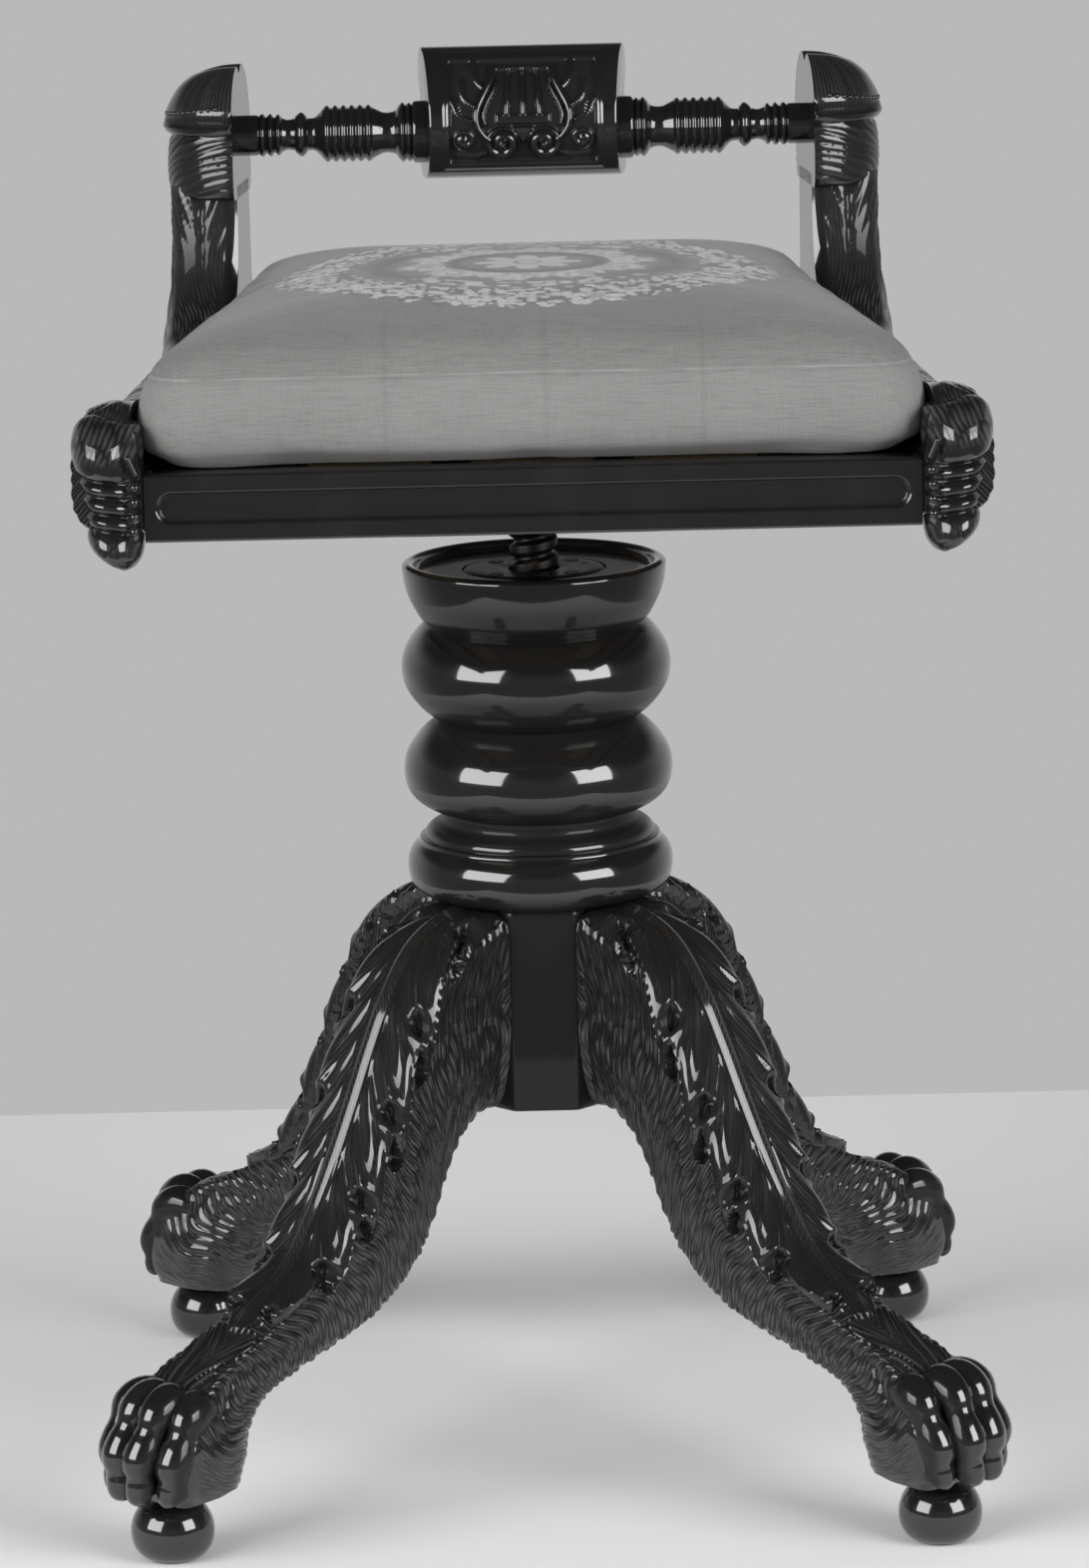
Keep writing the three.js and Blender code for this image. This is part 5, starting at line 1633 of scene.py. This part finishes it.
@dataclass
class Cushion(SeatPart):
    """The stuffed seat: a plan with rounded corners, drawn-in sides and a crown, blown up as cloth."""
    bottom: float = 457.8
    crown_height: float = 15.0
    front: float = -172.5
    rear: float = 156.0
    corner_radius: float = 19.0
    crown_power: float = 2.8
    slack: float = 2.0
    voxel: float = 4.5
    pressure: float = 4.0
    frames: int = 20
    travel: float = 5.0
    settled: float = 7.0
    middle_y: float = -9.0
    top_limit: float = 526.5
    ring_points: int = 260
    # Way in from the widest line, and height over the rail
    sides: ClassVar[list] = [[3.0, 0.3], [1.0, 2.6], [0.3, 8], [0, 14], [0.9, 22], [2.4, 29], [4.8, 35.8],
                             [9, 42], [15.5, 47.4]]

    def outline(self, inset: float, count: int) -> np.ndarray:
        """The plan: four arcs of the corner radius, joined by straight sides that follow the arms.

        Args:
            inset: How far inside the widest line.
            count: How many points to give back.

        Returns:
            The points, one a row.
        """
        radius, front, rear = self.corner_radius, self.front + inset, self.rear - inset
        wide, narrow = (self.plan.inner(y) + self.plan.give(y) - 0.6 - inset
                        for y in (front + radius, rear - radius))
        spots = [(wide - radius, front + radius, -90), (narrow - radius, rear - radius, 0),
                 (radius - narrow, rear - radius, 90), (radius - wide, front + radius, 180)]
        arcs = []
        for x, y, start in spots:
            angle = np.radians(np.linspace(start, start + 90, 24))
            arcs.append(np.stack([x + radius * np.cos(angle), y + radius * np.sin(angle)], 1))
        return evenly(np.vstack(arcs), count, True)

    def plain(self) -> np.ndarray:
        """Rings up the sides, then the outline shrunk towards the middle as the crown rises:
        rise = crown height x (1 - share^p).

        Returns:
            The rings.
        """
        rings = []
        for inset, height in curve_through(self.sides, 22):
            flat = self.outline(self.slack + inset, self.ring_points)
            rings.append(np.column_stack([flat, np.full(len(flat), self.bottom + height)]))
        edge, middle = rings[-1], np.array([0, (self.front + self.rear) / 2, 0])
        for share in np.cos(np.linspace(0, math.pi / 2, 34)[1:-1]):
            rise = self.crown_height * (1 - share ** self.crown_power)
            rings.append(middle + (edge - middle) * [share, share, 1] + [0, 0, rise])
        return np.stack(rings)

    def stuffed(self, mesh: bpy.types.Mesh) -> bpy.types.Mesh:
        """The mesh remeshed evenly and blown up as cloth for some frames, each point held near its start.

        Args:
            mesh: The plain cushion.

        Returns:
            The stuffed mesh.
        """
        scene = bpy.context.scene
        cover = bpy.data.objects.new("cover_in_work", mesh)
        scene.collection.objects.link(cover)
        remesh = cover.modifiers.new("even", "REMESH")
        remesh.mode = "VOXEL"
        remesh.voxel_size = self.voxel * MILLIMETRE
        even = bpy.data.meshes.new_from_object(cover.evaluated_get(bpy.context.evaluated_depsgraph_get()))
        cover.modifiers.clear()
        cover.data = even
        start = coordinates(even)
        cloth = cover.modifiers.new("cover", "CLOTH")
        cloth.settings.use_pressure = True
        cloth.settings.uniform_pressure_force = self.pressure
        cloth.settings.effector_weights.gravity = 0
        cloth.point_cache.frame_start, cloth.point_cache.frame_end = 1, self.frames
        for step in range(1, self.frames + 1):
            scene.frame_set(step)
        blown = cover.evaluated_get(bpy.context.evaluated_depsgraph_get()).data
        shift = coordinates(blown) - start
        far = np.linalg.norm(shift, axis=1, keepdims=True)
        limit = self.travel * MILLIMETRE
        shift *= limit * np.tanh(far / limit) / np.maximum(far, 1e-9)
        cover.modifiers.clear()
        scene.frame_set(1)
        even.vertices.foreach_set("co", (start + shift).ravel())
        bpy.data.objects.remove(cover)
        return even

    def fitted(self, mesh: bpy.types.Mesh) -> None:
        """Stretch the cushion to its size, keep it between the arms and on the rail, and draw its cover in
        a little along the crease.

        Args:
            mesh: The cushion.
        """
        points = coordinates(mesh) / MILLIMETRE
        low, high = points.min(0), points.max(0)
        wide = self.outline(0, 400)[:, 0].max()
        full_low = np.array([-wide, self.front, self.bottom + 0.2])
        full_high = np.array([wide, self.rear, self.bottom + self.sides[-1][1] + self.crown_height])
        points[:] = full_low + (points - low) / (high - low) * (full_high - full_low)
        x, y, z = points.T
        near_rail = np.clip((self.bottom + self.settled - z) / self.settled, 0, 1)
        y -= 2.5 * near_rail * smooth(-y, 140, 170)
        flat = self.bottom + self.settled * np.clip(2.2 * (1 - near_rail) - 1.2, 0, 1)
        z[:] = np.where(near_rail > 0, flat, z)
        room = self.plan.inner(y) - 0.5 + self.plan.give(y) * smooth(z, *self.plan.give_heights)
        x[:] = np.clip(x, -room, room)
        y[:] = np.clip(y, self.front - 1.0, self.rear + 2.5)
        z[:] = np.clip(z, self.bottom + 0.1, self.top_limit)
        off_middle = np.maximum(np.abs(x) - 120, np.abs(y - self.middle_y) - 135)
        crease = bell(z - CREASE_HEIGHT, 1.5) * smooth(off_middle, 0, 12)
        outward = np.stack([x, y - self.middle_y, 0 * z], 1)
        outward /= np.maximum(np.linalg.norm(outward, axis=1, keepdims=True), 1e-9)
        points -= outward * (0.45 * crease)[:, None]
        mesh.vertices.foreach_set("co", (points * MILLIMETRE).ravel())
        mesh.update()

    def build(self) -> None:
        """Make the cushion."""
        mesh = Shell().add(self.plain()).mesh("seat_cushion")
        mesh = self.stuffed(mesh)
        self.fitted(mesh)
        mesh.shade_smooth()
        piece = make_piece("stuffed_cushion", mesh, self.finishes.cloth, self.body, ["seat_cushion"])
        finer = piece.modifiers.new("finer", "SUBSURF")
        finer.levels = finer.render_levels = 1


@dataclass
class CrestTablet(SeatPart):
    """The crest tablet: a side profile with a rolled top between flared ends, with a lyre in relief."""
    width: float = 94.0
    height: float = 58.0
    depth: float = 46.0
    front: float = 121.0
    bottom: float = 539.5
    flare_degrees: float = 7.0
    border: float = 8.4
    field_middle: float = 31.0
    field_half_height: float = 23.0
    loop_points: int = 1800
    front_knots: float = 8.6
    front_points: int = 190
    back_points: int = 90
    across_points: int = 250
    profile: ClassVar[list] = [
        [0.36, 0.02], [0.17, 0.1], [0.05, 0.25], [0, 0.42], [0.04, 0.6], [0.16, 0.77], [0.33, 0.91],
        [0.53, 0.985], [0.74, 1], [0.9, 0.94], [0.97, 0.82], [0.9, 0.7], [0.74, 0.66], [0.88, 0.58],
        [0.97, 0.42], [1, 0.25], [0.9, 0.08], [0.7, 0]]

    def half(self, y: Any) -> Any:
        """Half the tablet's width: full at the back, less the way forward times the flare's tangent."""
        return self.width / 2 - (self.front + self.depth - y) * math.tan(math.radians(self.flare_degrees))

    def lyre(self, x: np.ndarray, z: np.ndarray) -> tuple:
        """The lyre: cords for its bar, strings, bowed arms and base scrolls, with leaf sprigs beside it.

        Args:
            x: Place across the tablet from its middle.
            z: Height above the tablet's bottom.

        Returns:
            The relief's height in millimetres, and the shade between its parts.
        """
        ax = np.abs(x)
        arms = strand_relief(ax, z, [[12.9, 50.2], [13.3, 47.5], [15.2, 43.3], [17.5, 38.8], [19.9, 33.8],
                                     [20.9, 29.3], [20, 24.6], [17.6, 20.8], [15.2, 18.6]], (2.0, 1.5))
        inner = strand_relief(ax, z, [[11.2, 45.3], [13.2, 40.4], [16, 35.3], [17.6, 30.3], [16.8, 25.6]],
                              (0.8, 0.8))
        bar = strand_relief(x, z, [[-14, 50], [0, 50.4], [14, 50]], (1.2, 1.2))
        strings = strand_relief(ax, z, [[6.0, 49.8], [6.7, 40], [7.4, 30.6]], (0.9, 1.4))
        middle = strand_relief(x, z, [[0, 49.8], [0, 30.6]], (0.9, 1.4))
        block = smooth(12.4 - ax, 0, 1) * smooth(z, 25.6, 26.6) * (1 - smooth(z, 30, 31))
        shield = smooth(5.6 - ax - 0.6 * (25.0 - z), 0, 1.2) * smooth(25.2 - z, 0, 1) * smooth(z, 14, 17)
        scrolls = whorl(ax - 9.2, z - 16.8, 8.4, 1.9, 1.0)
        outer = whorl(ax - 26.2, z - 18.2, 5.6, 1.6, -1.0)
        sprigs = np.zeros(x.shape)
        for sprig in ([[17, 42], [20, 46], [21.5, 52.5]], [[21.5, 34], [25.5, 38], [26.5, 44.5]],
                      [[23.2, 27.5], [28.2, 30.5], [30.4, 37]], [[17, 11.8], [22, 10], [28, 10.6]]):
            sprigs = np.maximum(sprigs, strand_relief(ax, z, sprig, (0.9, 2.3)))
        veins = 0.86 + 0.14 * np.cos(2 * math.pi * (ax + z) / 1.9)
        raised = np.maximum.reduce([
            2.6 * arms, 1.5 * inner, 2.3 * bar, 1.9 * strings, 1.9 * middle, 0.9 * block, 1.9 * shield,
            2.1 * scrolls, 1.1 * outer, 0.8 * sprigs * veins])
        return raised, np.clip(1 - raised / 0.6, 0, 1)

    def build(self) -> None:
        """Make the tablet: its profile at every place across, the sunk field and the lyre raised along the
        normals of its front."""
        loop = curve_through(self.profile, self.loop_points, True)
        split = int(self.loop_points * self.front_knots / len(self.profile))
        front = evenly(loop[:split], self.front_points)
        back = evenly(np.vstack([loop[split:], loop[:1]]), self.back_points)[1:-1]
        ring = np.vstack([front, back]) * [self.depth, self.height] + [self.front, self.bottom]
        share = np.concatenate([[-1], np.linspace(-1, 1, self.across_points), [1]])
        share[[1, 2, -3, -2]] = [-0.9985, -0.985, 0.985, 0.9985]
        shrink = np.ones(len(share))
        shrink[[0, 1, -2, -1]] = [0.955, 0.985, 0.985, 0.955]
        centre = ring.mean(0)
        y, height = np.moveaxis(centre + (ring - centre) * shrink[:, None, None], -1, 0)
        x, z = share[:, None] * self.half(y), height - self.bottom
        grid = np.stack([x, y, height], -1)
        outline = np.maximum(np.abs(x) - (self.half(self.front) - self.border),
                             np.abs(z - self.field_middle) - self.field_half_height)
        on_front = np.arange(len(ring)) < self.front_points
        field_share = (1 - smooth(outline, -1.1, 0.2)) * on_front
        relief, ground = self.lyre(x, z)
        raised = field_share * (relief - 1.9) + 0.5 * bell(outline - 1.4, 0.9) * on_front
        carved = grid + normals_of(grid) * raised[..., None]
        shell = Shell().add(carved, Leafage(hollow=0.75 * field_share * ground))
        self.wooden("carved_crest_tablet", "crest_tablet", shell)


@dataclass
class CrestSpindle(SeatPart):
    """A turned spindle between tablet and post: collar, rings, ribbed barrel, neck, ring and plain end."""
    side: Side
    tablet: CrestTablet
    axis_y: float = 146.0
    axis_z: float = 560.5
    radius: float = 13.9
    tenon: float = 6.0
    segments: int = 56
    profile: ClassVar[list] = [
        [[0, 0.94], [0.004, 0.985], [0.02, 1], [0.07, 1], [0.085, 0.97]], [[0.085, 0.97], [0.092, 0.88]],
        [[0.092, 0.88], [0.105, 0.95], [0.122, 0.88]], [[0.122, 0.88], [0.14, 0.96], [0.16, 0.86]],
        [[0.16, 0.86], [0.18, 0.7], [0.215, 0.64], [0.245, 0.66]],
        [[0.245, 0.66], [0.27, 0.74], [0.295, 0.82]],
        *[[[0.295 + 0.043 * k, 0.82], [0.295 + 0.043 * k + 0.0215, 0.915], [0.338 + 0.043 * k, 0.82]]
          for k in range(6)],
        [[0.553, 0.82], [0.575, 0.66], [0.6, 0.53], [0.632, 0.51]],
        [[0.632, 0.51], [0.64, 0.6], [0.665, 0.715], [0.695, 0.6], [0.7, 0.52]],
        [[0.7, 0.52], [0.735, 0.48], [0.765, 0.54]], [[0.765, 0.54], [0.785, 0.67], [0.805, 0.56]],
        [[0.805, 0.56], [0.825, 0.69], [0.847, 0.58]], [[0.847, 0.58], [0.867, 0.69], [0.888, 0.6]],
        [[0.888, 0.6], [0.9, 0.65], [1, 0.65]]]

    def build(self) -> None:
        """Make one spindle: its profile turned about X."""
        start = self.tablet.half(self.axis_y - self.radius) - 1.0
        end = self.plan.inner(self.axis_y) + 1.0
        line = cornered(self.profile, 270)
        way, radius = start + line[:, 0] * (end - start), line[:, 1] * self.radius
        way = np.concatenate([[start - 8, start - 0.5], way, [end + 0.5, end + 10]])
        radius = np.concatenate([[self.tenon, self.tenon], radius, [self.tenon, self.tenon]])
        aside, up, out = np.moveaxis(lathe(np.stack([radius, way], 1), self.segments), -1, 0)
        placed = np.stack([self.side.value * out, self.axis_y + aside, self.axis_z + up], -1)
        name = f"crest_spindle_{self.side.label}"
        self.wooden(f"turned_{name}", name, Shell().add(placed))


@dataclass
class Seat(Part):
    """Everything that turns and rises: frame, arms, cushion and crest rail."""

    def build(self) -> None:
        """Make every piece of the seat."""
        tablet = CrestTablet(self.finishes)
        SeatRail(self.finishes, "front_rail", face=-171.5, inward=1, panelled=True).build()
        SeatRail(self.finishes, "rear_rail", face=162.0, inward=-1, panelled=False).build()
        for side in Side:
            SideArm(self.finishes, side).build()
            CrestSpindle(self.finishes, side, tablet).build()
        tablet.build()
        Cushion(self.finishes).build()
        woods = [*(f"corner_block_{end}_{side.label}" for end in ("front", "rear") for side in Side),
                 *(f"slip_frame_{place}" for place in ("front", "rear", "left", "right")), "cross_board"]
        straps = [f"webbing_{way}_{number}" for way in ("long", "cross") for number in range(1, 4)]
        for nodes, material in ((woods, self.finishes.bare), (straps, self.finishes.webbing)):
            for node in nodes:
                self.finishes.dress(node, material)
        log.info("seat frame: %d bare wood members and %d straps dressed", len(woods), len(straps))


# The studio


@dataclass
class Studio:
    """Camera at the photograph's viewing angle, two large soft lamps, a floor and a pale room."""
    camera_place: tuple = (-0.0071, -2.6039, 0.8337)
    pitch_degrees: float = 11.76
    yaw_degrees: float = 0.21
    roll_degrees: float = -1.3
    lens: float = 141.04
    floor_reach: float = 0.567
    floor_colour: tuple = (0.81, 0.81, 0.81)
    wall_colour: tuple = (0.485, 0.485, 0.485)
    open_side_colour: tuple = (0.15, 0.15, 0.15)
    ceiling_colour: tuple = (0.03, 0.03, 0.03)
    room_light: tuple = (0.36, 0.36, 0.36)
    # Lamps: azimuth and elevation in degrees, distance, width, height in metres, power in watts
    lamps: ClassVar[list] = [[-51, 18, 2.4, 1.75, 1.4, 54], [49, 18, 2.4, 1.4, 1.35, 48]]
    target: tuple = (0.0, 0.0, 0.34)

    def camera(self) -> None:
        """Turn the camera so that its axes are the fitted right, up and backward directions."""
        pitch, yaw, roll = map(math.radians, (self.pitch_degrees, self.yaw_degrees, self.roll_degrees))
        ahead = Vector((math.sin(yaw) * math.cos(pitch), math.cos(yaw) * math.cos(pitch), -math.sin(pitch)))
        level = Vector((math.cos(yaw), -math.sin(yaw), 0))
        upright = level.cross(ahead)
        right = math.cos(roll) * level + math.sin(roll) * upright
        up = -math.sin(roll) * level + math.cos(roll) * upright
        camera = bpy.data.objects.new("camera", bpy.data.cameras.new("camera"))
        camera.data.lens, camera.data.sensor_width = self.lens, 36.0
        camera.data.clip_end = 50.0
        camera.matrix_world = Matrix.Translation(self.camera_place) @ Matrix(
            (right, up, -ahead)).transposed().to_4x4()
        bpy.context.scene.collection.objects.link(camera)
        bpy.context.scene.camera = camera

    def floor(self) -> None:
        """A square sheet of paper under the stool; past its edge the room is the backdrop."""
        reach = self.floor_reach
        mesh = bpy.data.meshes.new("studio_floor")
        mesh.from_pydata([(-reach, -reach, 0), (reach, -reach, 0), (reach, reach, 0), (-reach, reach, 0)], [],
                         [(0, 1, 2, 3)])
        mesh.materials.append(StudioPaper("studio_floor", self.floor_colour).material())
        sheet = bpy.data.objects.new("studio_floor", mesh)
        bpy.context.scene.collection.objects.link(sheet)

    def room(self) -> None:
        """The room: pale walls, duller on the side that the stool faces, under a dark ceiling, seen by the
        camera and in reflections, and a dim even light of its own."""
        world = bpy.data.worlds.new("room")
        world.use_nodes = True
        work = NodeWork(world.node_tree)
        path = work.node("ShaderNodeLightPath")
        seen, glossy, through = (Value(work, path.outputs[name])
                                 for name in ("Is Camera Ray", "Is Glossy Ray", "Is Transmission Ray"))
        place = work.node("ShaderNodeTexCoord").outputs["Generated"]
        way = work.node("ShaderNodeSeparateXYZ", None, {0: place})
        walls = work.mix(Value(work, way.outputs[1]).rise(0.1, 0.8), self.open_side_colour, self.wall_colour)
        walls = work.mix(Value(work, way.outputs[2]).rise(0.15, 0.45), walls, self.ceiling_colour)
        colour = work.mix(seen.most(glossy).most(through), self.room_light, walls)
        shade = work.node("ShaderNodeBackground", None, {"Color": colour})
        work.node("ShaderNodeOutputWorld", None, {0: shade.outputs[0]})
        bpy.context.scene.world = world

    def light(self) -> None:
        """Aim each lamp at the middle of the stool."""
        target = Vector(self.target)
        for number, (azimuth, elevation, distance, width, height, power) in enumerate(self.lamps, 1):
            turn, rise = math.radians(azimuth), math.radians(elevation)
            away = Vector((math.sin(turn) * math.cos(rise), -math.cos(turn) * math.cos(rise), math.sin(rise)))
            lamp = bpy.data.objects.new(f"softbox_{number}", bpy.data.lights.new(f"softbox_{number}", "AREA"))
            lamp.data.shape, lamp.data.size, lamp.data.size_y = "RECTANGLE", width, height
            lamp.data.energy = power
            lamp.location = target + away * distance
            lamp.rotation_euler = away.to_track_quat("Z", "Y").to_euler()
            bpy.context.scene.collection.objects.link(lamp)

    def build(self) -> None:
        """Set up the studio."""
        self.camera()
        self.floor()
        self.room()
        self.light()
        bpy.context.scene.view_settings.view_transform = "Standard"


def main() -> None:
    """Build the stool from the floor up, then the studio."""
    logging.basicConfig(level=logging.INFO, format="%(name)s: %(message)s")
    finishes = Finishes()
    for group in (Base, Lift, Seat):
        group(finishes).build()
    Studio().build()


if __name__ == "__main__":
    main()
